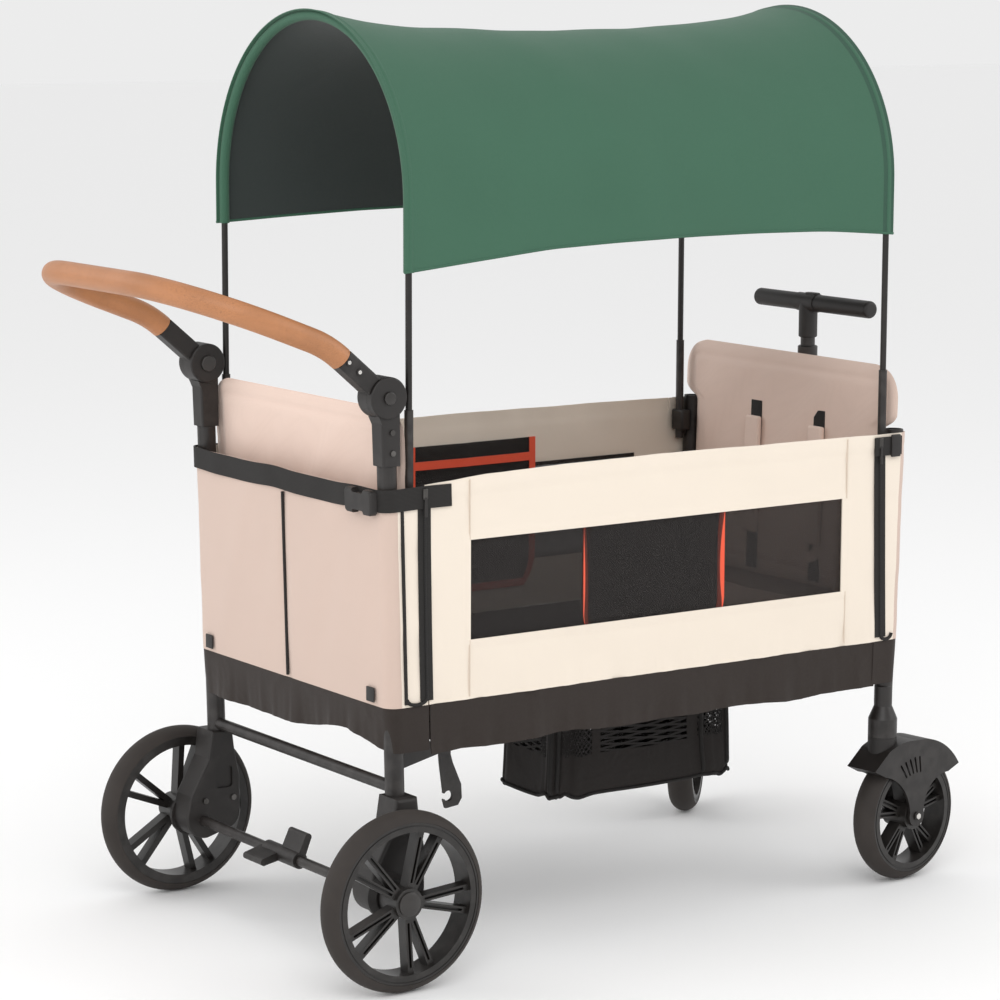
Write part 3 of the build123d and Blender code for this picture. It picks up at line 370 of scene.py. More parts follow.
@dataclass(frozen=True)
class Net:
    """See-through net with a square mesh."""

    name: str
    colour: str
    pitch: float = 0.0022
    closed: float = 0.97
    open: float = 0.55

    def make(self) -> bpy.types.Material:
        """Build the material."""
        material, graph, shader = blank(self.name)
        along = graph.add("TexCoord").outputs["UV"]
        parts = graph.add("SeparateXYZ", {0: along})
        strands = []
        for first, second in ((1.0, 1.0), (1.0, -1.0)):
            across = graph.math("MULTIPLY", parts.outputs["X"], first)
            lean = graph.math("MULTIPLY_ADD", parts.outputs["Y"], second, across)
            wave = graph.math("SINE", graph.math("MULTIPLY", lean, math.tau / self.pitch))
            strands.append(graph.ramp(wave, 0.0, 0.6))
        mask = graph.math("MAXIMUM", *strands)
        base = linear(self.colour)
        colour = graph.mix(mask, tuple(c * 0.6 for c in base), base)
        alpha = graph.math("MULTIPLY_ADD", mask, self.closed - self.open, self.open)
        bump = graph.add("Bump", {"Height": mask, "Strength": 0.4, "Distance": 0.0004})
        graph.tree.links.new(colour, shader.inputs["Base Color"])
        graph.tree.links.new(alpha, shader.inputs["Alpha"])
        graph.tree.links.new(bump.outputs[0], shader.inputs["Normal"])
        shader.inputs["Roughness"].default_value = 0.8
        return material


@dataclass(frozen=True)
class Leather:
    """Smooth sewn sleeve with a fine pore grain."""

    name: str
    colour: str

    def make(self) -> bpy.types.Material:
        """Build the material."""
        material, graph, shader = blank(self.name)
        place = graph.add("TexCoord").outputs["Object"]
        cells = graph.add("TexVoronoi", {"Vector": place, "Scale": 620.0}, feature="DISTANCE_TO_EDGE")
        grain = Groups.place(graph, "grain", {"Vector": place, "Scale": 420.0, "Drift": 16.0})
        pores = graph.ramp(cells.outputs["Distance"], 0.0, 0.12)
        base = linear(self.colour)
        spots = graph.ramp(grain.outputs["Cloud"], 0.3, 0.75)
        mottled = graph.mix(spots, base, tuple(c * 0.78 for c in base))
        colour = graph.mix(pores, tuple(c * 0.62 for c in base), mottled)
        fine = graph.add("Bump", {"Height": pores, "Strength": 0.22, "Distance": 0.0003})
        rough = graph.math("MULTIPLY_ADD", grain.outputs["Cloud"], 0.2, 0.38)
        graph.tree.links.new(colour, shader.inputs["Base Color"])
        graph.tree.links.new(rough, shader.inputs["Roughness"])
        graph.tree.links.new(fine.outputs[0], shader.inputs["Normal"])
        shader.inputs["Coat Weight"].default_value = 0.12
        shader.inputs["Coat Roughness"].default_value = 0.4
        return material


@dataclass(frozen=True)
class Ribbed:
    """Webbing or zip coil: fine ribs across one axis of the object."""

    name: str
    colour: str
    pitch: float = 0.0016
    axis: str = "Z"
    roughness: float = 0.75

    def make(self) -> bpy.types.Material:
        """Build the material."""
        material, graph, shader = blank(self.name)
        place = graph.add("TexCoord").outputs["Object"]
        parts = graph.add("SeparateXYZ", {0: place})
        wave = graph.math("SINE", graph.math("MULTIPLY", parts.outputs[self.axis], math.tau / self.pitch))
        grain = Groups.place(graph, "grain", {"Vector": place, "Scale": 500.0})
        base = linear(self.colour)
        lit = tuple(min(1.0, c * 1.7 + 0.004) for c in base)
        colour = graph.mix(graph.ramp(wave, -0.2, 1.0), base, lit)
        rib = graph.add("Bump", {"Height": wave, "Strength": 0.45, "Distance": 0.0004})
        rough = graph.math("MULTIPLY_ADD", grain.outputs["Cloud"], 0.15, self.roughness - 0.07)
        graph.tree.links.new(colour, shader.inputs["Base Color"])
        graph.tree.links.new(rough, shader.inputs["Roughness"])
        graph.tree.links.new(rib.outputs[0], shader.inputs["Normal"])
        return material


class Finish(Enum):
    """Every finish on the wagon."""

    FRAME = Hard("frame_paint", "1b1715", 0.42, 0.0, 0.10, 1400.0, 0.30)
    MOULDED = Hard("black_moulding", "181412", 0.52, 0.0, 0.35, 800.0, 0.25)
    RIM = Hard("rim_moulding", "191614", 0.40, 0.0, 0.18, 700.0, 0.30)
    TYRE = Hard("tyre_rubber", "2f2a27", 0.72, 0.0, 0.30, 500.0, 0.10, 0.35)
    ROD = Hard("rod_metal", "191614", 0.38, 0.2, 0.08, 1500.0, 0.20)
    BOLT = Hard("bolt_steel", "4a4846", 0.35, 0.9, 0.10, 900.0, 0.40)
    STEEL = Hard("bright_steel", "cfccc8", 0.25, 1.0, 0.05, 900.0, 0.10)
    BUTTON = Hard("button_plastic", "2a2725", 0.30, 0.0, 0.10, 900.0, 0.20)
    CREAM = Cloth("cream_cloth", "ebdfd0", thread=0.05, crease=0.22)
    BLUSH = Cloth("blush_cloth", "cfb8ab", pitch=0.0014, thread=0.08, crease=0.18)
    # painted light: the blush cloth made lighter than BLUSH to make up for the shade under the canopy on the
    # benches, backrests and harness pads
    PAD = Cloth("blush_padding", "e6cdbf", pitch=0.0014, thread=0.08, crease=0.30, uv=False)
    GREEN = Cloth(
        "green_cloth", "38634d", thread=0.16, crease=0.16, crease_scale=4.0, roughness=0.8, sheen=0.08
    )
    BINDING = Cloth("green_binding", "2c5140", thread=0.16, crease=0.1, roughness=0.8, sheen=0.08)
    LINING = Cloth("dark_lining", "303836", pitch=0.0012, thread=0.15, crease=0.2)
    DARK = Cloth("dark_cloth", "2a211c", pitch=0.0016, thread=0.22, crease=0.6, crease_scale=10.0, sheen=0.1)
    # painted shade: the dark cloth made darker still for the basket, which hangs in shade under the floor
    SLING = Cloth(
        "sling_cloth", "1e1815", pitch=0.0016, thread=0.2, crease=0.7, crease_scale=14.0, sheen=0.08
    )
    ORANGE = Cloth("orange_binding", "ee5a3c", pitch=0.0009, thread=0.1, crease=0.1, uv=False)
    WINDOW = Net("window_net", "1f1a18", closed=0.87, open=0.46)
    POCKET = Net("pocket_net", "1d1917", 0.0045, 0.96, 0.60)
    BASKET = Net("basket_net", "1b1715", 0.0075, 0.98, 0.08)
    WEBBING = Ribbed("webbing", "14110f")
    SEAM = Cloth("seam_thread", "dccdbd", crease=0.1, uv=False)
    ZIP = Ribbed("zip_coil", "100e0d", 0.0022)
    GRIP = Leather("tan_grip", "be8053")

    @property
    def material(self) -> bpy.types.Material:
        """The finish's material, made when it is first used."""
        found = bpy.data.materials.get(f"{self.value.name}_finish")
        if found is None:
            found = self.value.make()
            found.name = f"{self.value.name}_finish"
        return found


# ---- modelling tools ------------------------------------------------------------------------


def only(obj: bpy.types.Object) -> None:
    """Select this object alone and make it active."""
    bpy.ops.object.select_all(action="DESELECT")
    obj.select_set(True)
    bpy.context.view_layer.objects.active = obj


def positions(obj: bpy.types.Object) -> np.ndarray:
    """The mesh's vertex positions as rows."""
    flat = np.empty(len(obj.data.vertices) * 3)
    obj.data.vertices.foreach_get("co", flat)
    return flat.reshape(-1, 3)


def put(obj: bpy.types.Object, rows: np.ndarray) -> None:
    """Write vertex positions back."""
    obj.data.vertices.foreach_set("co", np.ascontiguousarray(rows, dtype=np.float64).ravel())
    obj.data.update()


def finish_modifiers(obj: bpy.types.Object) -> None:
    """Apply every modifier in order."""
    only(obj)
    for modifier in list(obj.modifiers):
        bpy.ops.object.modifier_apply(modifier=modifier.name)


def modifier(obj: bpy.types.Object, kind: str, **settings: object) -> bpy.types.Modifier:
    """Add a modifier with its settings."""
    made = obj.modifiers.new(kind.lower(), kind)
    for key, value in settings.items():
        setattr(made, key, value)
    return made


def paint(obj: bpy.types.Object, *finishes: Finish) -> None:
    """Give the object these finishes, one per material slot."""
    obj.data.materials.clear()
    for one in finishes:
        obj.data.materials.append(one.material)


def edit(obj: bpy.types.Object, pick: Callable[[Vector], bool], work: Callable[[], object]) -> None:
    """Run an edit-mode operator on the faces whose centres pass a test.

    Args:
        obj: The mesh to edit.
        pick: Says whether a face's centre is wanted.
        work: The operator call.
    """
    only(obj)
    for face in obj.data.polygons:
        face.select = bool(pick(face.center))
    chosen = {v for face in obj.data.polygons if face.select for v in face.vertices}
    for vertex in obj.data.vertices:
        vertex.select = vertex.index in chosen
    for edge in obj.data.edges:
        edge.select = all(v in chosen for v in edge.vertices)
    bpy.ops.object.mode_set(mode="EDIT")
    bpy.ops.mesh.select_mode(type="FACE")
    work()
    bpy.ops.object.mode_set(mode="OBJECT")


def whole(obj: bpy.types.Object, work: Callable[[], object]) -> None:
    """Run an edit-mode operator on the whole mesh."""
    only(obj)
    bpy.ops.object.mode_set(mode="EDIT")
    bpy.ops.mesh.select_mode(type="VERT")
    bpy.ops.mesh.select_all(action="SELECT")
    work()
    bpy.ops.object.mode_set(mode="OBJECT")


def outward(obj: bpy.types.Object) -> None:
    """Merge doubles, then turn every face outward."""
    whole(obj, lambda: bpy.ops.mesh.remove_doubles(threshold=1e-5))
    whole(obj, lambda: bpy.ops.mesh.normals_make_consistent(inside=False))


def smooth(obj: bpy.types.Object, angle: float = 40.0) -> None:
    """Shade smooth up to an angle in degrees."""
    only(obj)
    bpy.ops.object.shade_smooth_by_angle(angle=math.radians(angle))


Mapping = Callable[[np.ndarray, np.ndarray], np.ndarray]


def surface(
    name: str, columns: int, rows: int, place: Mapping, size: tuple[float, float]
) -> bpy.types.Object:
    """Lay a grid along a surface.

    Args:
        name: The piece's name.
        columns: Faces along the first direction.
        rows: Faces along the second direction.
        place: Takes arrays s and t, both 0 to 1, and returns positions in metres.
        size: The flat cloth's size, which sets the UV map's scale in metres.

    Returns:
        The shaped mesh object.
    """
    bpy.ops.object.select_all(action="DESELECT")
    bpy.ops.mesh.primitive_grid_add(x_subdivisions=columns, y_subdivisions=rows, size=2, calc_uvs=True)
    obj = bpy.context.object
    obj.name = obj.data.name = name
    flat = positions(obj)
    put(obj, place((flat[:, 0] + 1) / 2, (flat[:, 1] + 1) / 2))
    uv = obj.data.uv_layers[0].data
    rows_uv = np.empty(len(uv) * 2)
    uv.foreach_get("uv", rows_uv)
    scaled = rows_uv.reshape(-1, 2) * np.array(size)
    uv.foreach_set("uv", scaled.ravel())
    return obj


def sheeted(obj: bpy.types.Object, thick: float, offset: float = 0.0, level: int = 0) -> bpy.types.Object:
    """Give a surface its thickness and soften it."""
    modifier(obj, "SOLIDIFY", thickness=thick, offset=offset)
    if level:
        modifier(obj, "SUBSURF", levels=level, render_levels=level)
    finish_modifiers(obj)
    smooth(obj, 50)
    return obj


def tube(
    name: str, points: Sequence[Point], radius: float, finish: Finish, cyclic: bool = False
) -> bpy.types.Object:
    """A round cord or binding along a smooth path.

    Args:
        name: The piece's name.
        points: Control points of the path, in metres.
        radius: The cord's radius.
        finish: Its finish.
        cyclic: Whether the path closes on itself.

    Returns:
        The mesh object.
    """
    curve = bpy.data.curves.new(name, "CURVE")
    curve.dimensions = "3D"
    curve.bevel_depth = radius
    curve.bevel_resolution = 3
    curve.resolution_u = 6
    curve.use_fill_caps = True
    spline = curve.splines.new("NURBS")
    spline.points.add(len(points) - 1)
    for knot, point in zip(spline.points, points):
        knot.co = (*point, 1)
    spline.order_u = 3
    spline.use_endpoint_u = not cyclic
    spline.use_cyclic_u = cyclic
    obj = bpy.data.objects.new(name, curve)
    bpy.context.collection.objects.link(obj)
    only(obj)
    bpy.ops.object.convert(target="MESH")
    made = bpy.context.object
    made.name = name
    smooth(made, 60)
    paint(made, finish)
    return made


def block(
    name: str, low: Point, high: Point, bevel: float, finish: Finish, segments: int = 3
) -> bpy.types.Object:
    """A moulded block between two corners with rounded edges."""
    middle = [(a + b) / 2 for a, b in zip(low, high)]
    bpy.ops.object.select_all(action="DESELECT")
    bpy.ops.mesh.primitive_cube_add(size=1, location=middle)
    obj = bpy.context.object
    obj.name = obj.data.name = name
    obj.scale = [b - a for a, b in zip(low, high)]
    bpy.ops.object.transform_apply(location=True, rotation=True, scale=True)
    modifier(obj, "BEVEL", width=bevel, segments=segments, limit_method="NONE")
    finish_modifiers(obj)
    smooth(obj, 40)
    paint(obj, finish)
    return obj


def disc(
    name: str, centre: Point, axis: str, radius: float, depth: float, finish: Finish, bevel: float,
    sides: int = 40,
) -> bpy.types.Object:
    """A turned cap or screw head along X, Y or Z, with a sunk middle."""
    turn = {"X": (0, math.pi / 2, 0), "Y": (math.pi / 2, 0, 0), "Z": (0, 0, 0)}[axis]
    bpy.ops.object.select_all(action="DESELECT")
    bpy.ops.mesh.primitive_cylinder_add(
        vertices=sides, radius=radius, depth=depth, location=centre, rotation=turn
    )
    obj = bpy.context.object
    obj.name = obj.data.name = name
    bpy.ops.object.transform_apply(location=True, rotation=True, scale=True)
    modifier(obj, "BEVEL", width=bevel, segments=3, limit_method="ANGLE", angle_limit=math.radians(50))
    finish_modifiers(obj)
    smooth(obj, 40)
    paint(obj, finish)
    return obj


def inflate(obj: bpy.types.Object, voxel: float, pressure: float, cap: float) -> None:
    """Swell a closed pad with a short cloth simulation and keep the result.

    Args:
        obj: A closed mesh, a little smaller than the finished pad.
        voxel: Remesh size in metres.
        pressure: Cloth pressure.
        cap: The most that a point may move, in metres.
    """
    only(obj)
    obj.data.remesh_voxel_size = voxel
    bpy.ops.object.voxel_remesh()
    before = positions(obj)
    cloth = obj.modifiers.new("cloth", "CLOTH")
    cloth.settings.quality = 5
    cloth.settings.use_pressure = True
    cloth.settings.uniform_pressure_force = pressure
    cloth.settings.tension_stiffness = 12
    cloth.settings.compression_stiffness = 12
    cloth.settings.bending_stiffness = 0.6
    cloth.settings.effector_weights.gravity = 0
    scene = bpy.context.scene
    for frame in range(1, 21):
        scene.frame_set(frame)
    finish_modifiers(obj)
    after = positions(obj)
    moved = after - before
    length = np.linalg.norm(moved, axis=1, keepdims=True)
    put(obj, before + moved * np.minimum(1, cap / np.maximum(length, 1e-9)))
    scene.frame_set(1)


def ripple(values: np.ndarray, seed: float) -> np.ndarray:
    """Uneven waves of about unit height along one coordinate."""
    return (
        np.sin(values * math.tau + seed)
        + 0.6 * np.sin(values * math.tau * 1.73 + 2.1 * seed)
        + 0.35 * np.sin(values * math.tau * 3.11 + 4.7 * seed)
    ) / 1.5


def band(depth: np.ndarray, width: float) -> np.ndarray:
    """A raised hem: 1 inside width, falling to 0 just past it."""
    return np.clip((width - depth) / (width * 0.25) + 1, 0, 1)


# ---- canopy ---------------------------------------------------------------------------------


@dataclass
class Canopy:
    """The arched cloth over two hoops."""

    radius: float = 0.2335
    spring: float = 0.988
    back: float = 0.0410
    front: float = 0.8350
    crown_sag: float = 0.031
    side_sag: float = 0.006
    near_hem: tuple[float, ...] = (0.899, 0.909, 0.919, 0.923, 0.925, 0.925, 0.923, 0.914)
    far_hem: tuple[float, ...] = (0.933, 0.938, 0.942, 0.943, 0.943, 0.942, 0.941, 0.938)

    def hem(self, u: np.ndarray, side: Side) -> np.ndarray:
        """Height of the lower hem along the canopy, u from 0 at the back to 1."""
        row = self.near_hem if side is Side.RIGHT else self.far_hem
        return np.interp(u, np.linspace(0, 1, len(row)), row)

    def arch(self, u: np.ndarray, v: np.ndarray, out: float = 0.0) -> np.ndarray:
        """Points of the cloth.

        Args:
            u: 0 at the back to 1 at the front.
            v: 0 at the near hem, over the top, to 1 at the far hem.
            out: How far the points stand off the cloth.

        Returns:
            Positions as rows.
        """
        half = math.pi * self.radius
        near = self.spring - self.hem(u, Side.RIGHT)
        far = self.spring - self.hem(u, Side.LEFT)
        along = v * (near + half + far)
        angle = np.clip((along - near) / self.radius, 0, math.pi)
        slack = 1 - np.abs(2 * u - 1) ** 3.2
        crown = np.sin(angle)
        sag = slack * (self.crown_sag * crown**1.5 + self.side_sag * (1 - crown))
        wrinkle = 0.0016 * slack * ripple(u * 2.2 + v * 0.8, 1.3)
        reach = self.radius - sag + out + wrinkle
        y = -np.cos(angle) * reach
        z = self.spring + np.sin(angle) * reach
        z = np.where(along < near, self.spring - (near - along), z)
        z = np.where(along > near + half, self.spring - (along - near - half), z)
        x = self.back + u * (self.front - self.back)
        return np.stack([x, y, z], axis=1)

    def build(self) -> None:
        """Make the cloth, its hems and rod sleeves."""
        drop = 2 * (self.spring - 0.925)
        flat = (self.front - self.back + 0.012, math.pi * self.radius + drop)

        def ease(s: np.ndarray) -> np.ndarray:
            """Crowd the columns towards the hoops."""
            return s - 0.11 * np.sin(2 * math.pi * s)

        cloth = surface("canopy_cloth", 72, 84, lambda s, t: self.arch(ease(s), t), flat)
        outward(cloth)
        sheeted(cloth, 0.0014, offset=0)
        paint(cloth, Finish.GREEN, Finish.LINING, Finish.BINDING)
        for face in cloth.data.polygons:
            if self.back + 0.012 < face.center.x < self.front - 0.004 and self.faces_in(face):
                face.material_index = 1
            elif face.center.x > self.front - 0.019:
                face.material_index = 2
        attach(cloth, "canopy")
        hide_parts("canopy_fabric")
        self.trim()
        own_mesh(cloth)

    def faces_in(self, face: bpy.types.MeshPolygon) -> bool:
        """Whether a face looks towards the inside of the arch."""
        rise = (self.spring - face.center.z) if face.center.z > self.spring else 0
        inward = Vector((0, -face.center.y, rise))
        return face.normal.dot(inward) > 0.2 * inward.length

    def trim(self) -> list[bpy.types.Object]:
        """Rod sleeves at both ends and stitched hems along both sides."""
        pieces = []
        for name, u, body in (("rear", 0.012, "canopy"), ("front", 0.988, "canopy_front")):
            steps = np.linspace(0, 1, 41)
            path = self.arch(np.full(41, u), steps, 0.0004)
            centre = {"rear": 0.0505, "front": 0.8270}[name]
            path[:, 0] = centre
            inner = path.copy()
            pull = 0.0053
            over = inner[:, 2] > self.spring
            reach = np.hypot(inner[:, 1], np.where(over, inner[:, 2] - self.spring, 0))
            scale = np.where(reach > 0, (reach - pull) / np.maximum(reach, 1e-6), 1)
            inner[:, 1] *= scale
            inner[:, 2] = np.where(over, self.spring + (inner[:, 2] - self.spring) * scale, inner[:, 2])
            sleeve = tube(f"canopy_sleeve_{name}", [tuple(p) for p in inner], 0.0068, Finish.GREEN)
            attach(sleeve, body)
            pieces.append(sleeve)
        for side, v in ((Side.RIGHT, 0.002), (Side.LEFT, 0.998)):
            run = np.linspace(0.0, 1.0, 25)
            path = self.arch(run, np.full(25, v))
            hem = tube(f"canopy_hem_{side.word}", [tuple(p) for p in path], 0.0019, Finish.GREEN)
            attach(hem, "canopy")
            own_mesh(hem)
            pieces.append(hem)
        return pieces


# ---- tub ------------------------------------------------------------------------------------


@dataclass
class EndLine:
    """One leaning end of the tub: its upright's foot, lean and which way is outside."""

    foot_x: float
    foot_z: float
    lean: float
    facing: int
    wing: float
    body: str

    def at(self, along: np.ndarray | float, z: np.ndarray | float) -> np.ndarray | float:
        """X of a point that lies along metres in front of the upright's axis, at a height."""
        return self.foot_x + (z - self.foot_z) * math.sin(math.radians(self.lean)) + along


REAR_END = EndLine(0.0315, 0.150, -1.5, -1, 0.042, "frame")
FRONT_END = EndLine(0.8410, 0.280, 1.5, 1, 0.033, "front_frame")


@dataclass
class Tub:
    """Cloth walls, skirts, windows, pockets and their bindings."""

    half: float = 0.2430
    seam: float = 0.3520
    back: float = 0.0158
    corner: float = 0.017
    window: tuple[float, float, float, float] = (0.134, 0.746, 0.429, 0.558)
    top_points: tuple[float, ...] = (0.634, 0.640, 0.643, 0.644, 0.6445, 0.644, 0.643, 0.6425, 0.641)

    def build(self) -> None:
        """Make every cloth wall."""
        for side in Side:
            self.side_wall(side)
            self.window_net(side)
            self.side_skirt(side)
            self.zips(side)
            self.pocket(side)
        self.end_wall(REAR_END, "rear_end_panel", 0.352, 0.630)
        self.end_wall(FRONT_END, "front_end_panel", 0.352, 0.641)
        self.end_skirt(REAR_END, "rear_skirt")
        self.end_skirt(FRONT_END, "front_skirt")
        self.end_piping()

    def crumple(self, obj: bpy.types.Object) -> None:
        """The piece rides on the frame, with a mesh of its own."""
        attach(obj, "frame")
        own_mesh(obj)

    def top_edge(self, x: np.ndarray) -> np.ndarray:
        """Height of the side wall's top edge."""
        return np.interp(x, np.linspace(0.0645, 0.8165, len(self.top_points)), self.top_points)

    def side_wall(self, side: Side) -> None:
        """A cream wall with a stitched window opening and a folded top hem."""
        x0, x1, z0, z1 = self.window
        columns = np.cumsum([0, 14, 120, 16])
        rows = np.cumsum([0, 16, 26, 18])

        def place(s: np.ndarray, t: np.ndarray) -> np.ndarray:
            """Points at shares s along the piece and t up it."""
            i, j = s * columns[-1], t * rows[-1]
            left = 0.0715 - 0.007 * t
            right = 0.8090 + 0.0075 * t
            x = np.where(
                i < columns[1],
                left + (x0 - left) * i / columns[1],
                np.where(
                    i > columns[2],
                    x1 + (right - x1) * (i - columns[2]) / (columns[3] - columns[2]),
                    x0 + (x1 - x0) * (i - columns[1]) / (columns[2] - columns[1]),
                ),
            )
            top = self.top_edge(x)
            z = np.where(
                j < rows[1],
                self.seam + (z0 - self.seam) * j / rows[1],
                np.where(
                    j > rows[2],
                    z1 + (top - z1) * (j - rows[2]) / (rows[3] - rows[2]),
                    z0 + (z1 - z0) * (j - rows[1]) / (rows[2] - rows[1]),
                ),
            )
            gap = np.maximum(np.maximum(x0 - x, x - x1), np.maximum(z0 - z, z - z1))
            hem = 0.0012 * band(np.abs(gap), 0.007) + 0.0012 * band(top - z, 0.018)
            low = np.exp(-((z - self.seam) / 0.020))
            pucker = 0.0013 * low * ripple(x / 0.055, 0.7 * side.value + 1)
            slack = 0.0016 * ripple(x / 0.31 + z / 0.4, 2.2 * side.value) * np.clip(gap / 0.04, 0, 1)
            soft = 0.0014 * ripple(x / 0.12, 3.0 + side.value) * np.exp(-((top - z) / 0.03))
            y = side.value * (self.half - 0.0015 + hem + pucker + slack + soft)
            return np.stack([x, y, z], axis=1)

        wall = surface(f"side_wall_{side.word}", int(columns[-1]), int(rows[-1]), place, (0.745, 0.290))
        inside = lambda c: x0 < c.x < x1 and z0 < c.z < z1
        edit(wall, inside, lambda: bpy.ops.mesh.delete(type="FACE"))
        sheeted(wall, 0.0018)
        paint(wall, Finish.CREAM)
        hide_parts(f"side_panel_{side.word}")
        self.crumple(wall)
        self.seams(side)

    def seams(self, side: Side) -> None:
        """Lines of stitching over and under both ends of the window."""
        x0, x1, z0, z1 = self.window
        y = side.value * (self.half + 0.0002)
        for end, x in (("rear", x0 - 0.001), ("front", x1 + 0.008)):
            spans = (("low", self.seam + 0.004, z0), ("high", z1, float(self.top_edge(x)) - 0.003))
            for level, low, high in spans:
                points = [(x, y, z) for z in np.linspace(low, high, 6)]
                line = tube(f"seam_{end}_{level}_{side.word}", points, 0.0009, Finish.SEAM)
                self.crumple(line)

    def window_net(self, side: Side) -> None:
        """The dark net behind the opening."""
        x0, x1, z0, z1 = self.window
        edge = 0.006
        wide, high = x1 - x0 + 2 * edge, z1 - z0 + 2 * edge

        def place(s: np.ndarray, t: np.ndarray) -> np.ndarray:
            """Points at shares s along the piece and t up it."""
            bow = 0.0012 * np.sin(np.pi * s) * np.sin(np.pi * t) * ripple(s * 2.3, 1.0)
            y = side.value * (self.half - 0.0034 + bow)
            return np.stack([x0 - edge + s * wide, y, z0 - edge + t * high], axis=1)

        net = surface(f"window_net_{side.word}", 60, 16, place, (wide, high))
        sheeted(net, 0.0006)
        paint(net, Finish.WINDOW)
        if side is Side.LEFT:
            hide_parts("window_meshes")
        self.crumple(net)

    def side_skirt(self, side: Side) -> None:
        """The dark band below the seam, slack and wavy at its lower edge."""
        low, high, x0, x1 = 0.2885, self.seam - 0.0003, 0.0735, 0.8085

        def place(s: np.ndarray, t: np.ndarray) -> np.ndarray:
            """Points at shares s along the piece and t up it."""
            x = x0 + s * (x1 - x0)
            loose = (1 - t) ** 1.4
            long_wave = 0.0028 * loose * ripple(x / 0.14, 1.7 * side.value)
            wave = long_wave + 0.0011 * ripple(x / 0.045, 0.4) * loose
            hem = 0.0010 * band(t * (high - low), 0.007)
            y = side.value * (self.half - 0.0022 + wave + hem)
            z = low + t * (high - low) + 0.0022 * loose * ripple(x / 0.26, 2.0 + side.value)
            return np.stack([x, y, z], axis=1)

        skirt = surface(f"side_skirt_{side.word}", 150, 14, place, (x1 - x0, high - low))
        sheeted(skirt, 0.0018)
        paint(skirt, Finish.DARK)
        if side is Side.LEFT:
            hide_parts("side_skirts")
        self.crumple(skirt)

    def zips(self, side: Side) -> None:
        """A zip up each end of the side wall, with its slider and pull."""
        y = side.value * (self.half + 0.0012)
        lines = {
            "rear": [(0.0670, y, 0.358), (0.0650, y, 0.45), (0.0635, y, 0.55), (0.0630, y, 0.630)],
            "front": [(0.8180, y, 0.358), (0.8150, y, 0.45), (0.8125, y, 0.55), (0.8105, y, 0.637)],
        }
        for name, points in lines.items():
            coil = tube(f"zip_coil_{name}_{side.word}", points, 0.0020, Finish.ZIP)
            tape = self.strip(f"zip_tape_{name}_{side.word}", points, 0.0190, side, Finish.WEBBING)
            x, _, z = points[-1]
            slider = block(
                f"zip_slider_{name}_{side.word}",
                (x - 0.0035, min(y, y + side.value * 0.004), z - 0.014),
                (x + 0.0035, max(y, y + side.value * 0.004), z),
                0.0012, Finish.BOLT,
            )
            pull = block(
                f"zip_pull_{name}_{side.word}",
                (x - 0.0022, min(y + side.value * 0.003, y + side.value * 0.0048), z - 0.036),
                (x + 0.0022, max(y + side.value * 0.003, y + side.value * 0.0048), z - 0.011),
                0.0007, Finish.MOULDED,
            )
            body = "frame" if name == "rear" else "front_frame"
            low_x, low_z = points[0][0], points[0][2]
            step = 0.030 if name == "rear" else -0.020
            turn = [
                (low_x - step * (1 - math.cos(a)) / 2, y, low_z + 0.004 - 0.008 * math.sin(a))
                for a in np.linspace(0, math.pi, 9)
            ]
            bow = tube(f"zip_bow_{name}_{side.word}", turn, 0.0024, Finish.WEBBING)
            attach(bow, body)
            dressed = ((coil, "webbing"), (tape, "webbing"), (slider, "bolt_steel"), (pull, "black_moulding"))
            for piece, slot in dressed:
                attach(piece, body)

    def strip(
        self, name: str, points: Sequence[Point], width: float, side: Side, finish: Finish
    ) -> bpy.types.Object:
        """A flat tape that follows points up a side wall."""
        rows = np.array(points)

        def place(s: np.ndarray, t: np.ndarray) -> np.ndarray:
            """Points at shares s along the piece and t up it."""
            at = np.linspace(0, 1, len(rows))
            x = np.interp(t, at, rows[:, 0]) + (s - 0.5) * width
            y = np.interp(t, at, rows[:, 1]) - side.value * 0.0004
            z = np.interp(t, at, rows[:, 2])
            return np.stack([x, y, z], axis=1)

        made = surface(name, 4, 30, place, (width, 0.28))
        sheeted(made, 0.0012)
        paint(made, finish)
        return made

    def pocket(self, side: Side) -> None:
        """A net pocket inside the wall with an orange binding round it."""
        x0, x1, z0, z1 = (0.352, 0.571, 0.385, 0.602) if side is Side.LEFT else (0.313, 0.546, 0.400, 0.600)
        wide, high = x1 - x0, z1 - z0
        base = self.half - 0.0045

        def place(s: np.ndarray, t: np.ndarray) -> np.ndarray:
            """Points at shares s along the piece and t up it."""
            height = np.clip(t * 0.85 + 0.02, 0, 1)
            belly = np.sin(np.pi * np.clip(s, 0, 1)) ** 0.6 * np.sin(np.pi * height) ** 0.6
            round_off = np.clip(1 - t / 0.22, 0, 1) ** 2 * 0.17
            x = x0 + wide * (0.5 + (s - 0.5) * (1 - round_off))
            y = side.value * (base - 0.0045 * belly - 0.0012 * ripple(s * 2.6, 1.0) * belly)
            return np.stack([x, y, z0 + t * high], axis=1)

        net = surface(f"pocket_net_{side.word}", 40, 36, place, (wide, high))
        sheeted(net, 0.0008)
        paint(net, Finish.POCKET)
        if side is Side.LEFT:
            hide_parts("side_pockets")
        self.crumple(net)
        level = 0.90 if side is Side.LEFT else 1.0
        tapes = {
            "top": (0.0, 1.0, level - 0.055, level),
            "back": (0.0, 0.048, 0.0, 1.0),
            "front": (0.952, 1.0, 0.0, 1.0),
            "foot": (0.0, 1.0, 0.0, 0.050),
        }
        for name, (s0, s1, t0, t1) in tapes.items():
            tape = surface(
                f"pocket_binding_{name}_{side.word}", 24, 24,
                lambda s, t: place(s0 + s * (s1 - s0), t0 + t * (t1 - t0)),
                (wide * (s1 - s0), high * (t1 - t0)),
            )
            sheeted(tape, 0.0030)
            paint(tape, Finish.ORANGE)
            self.crumple(tape)

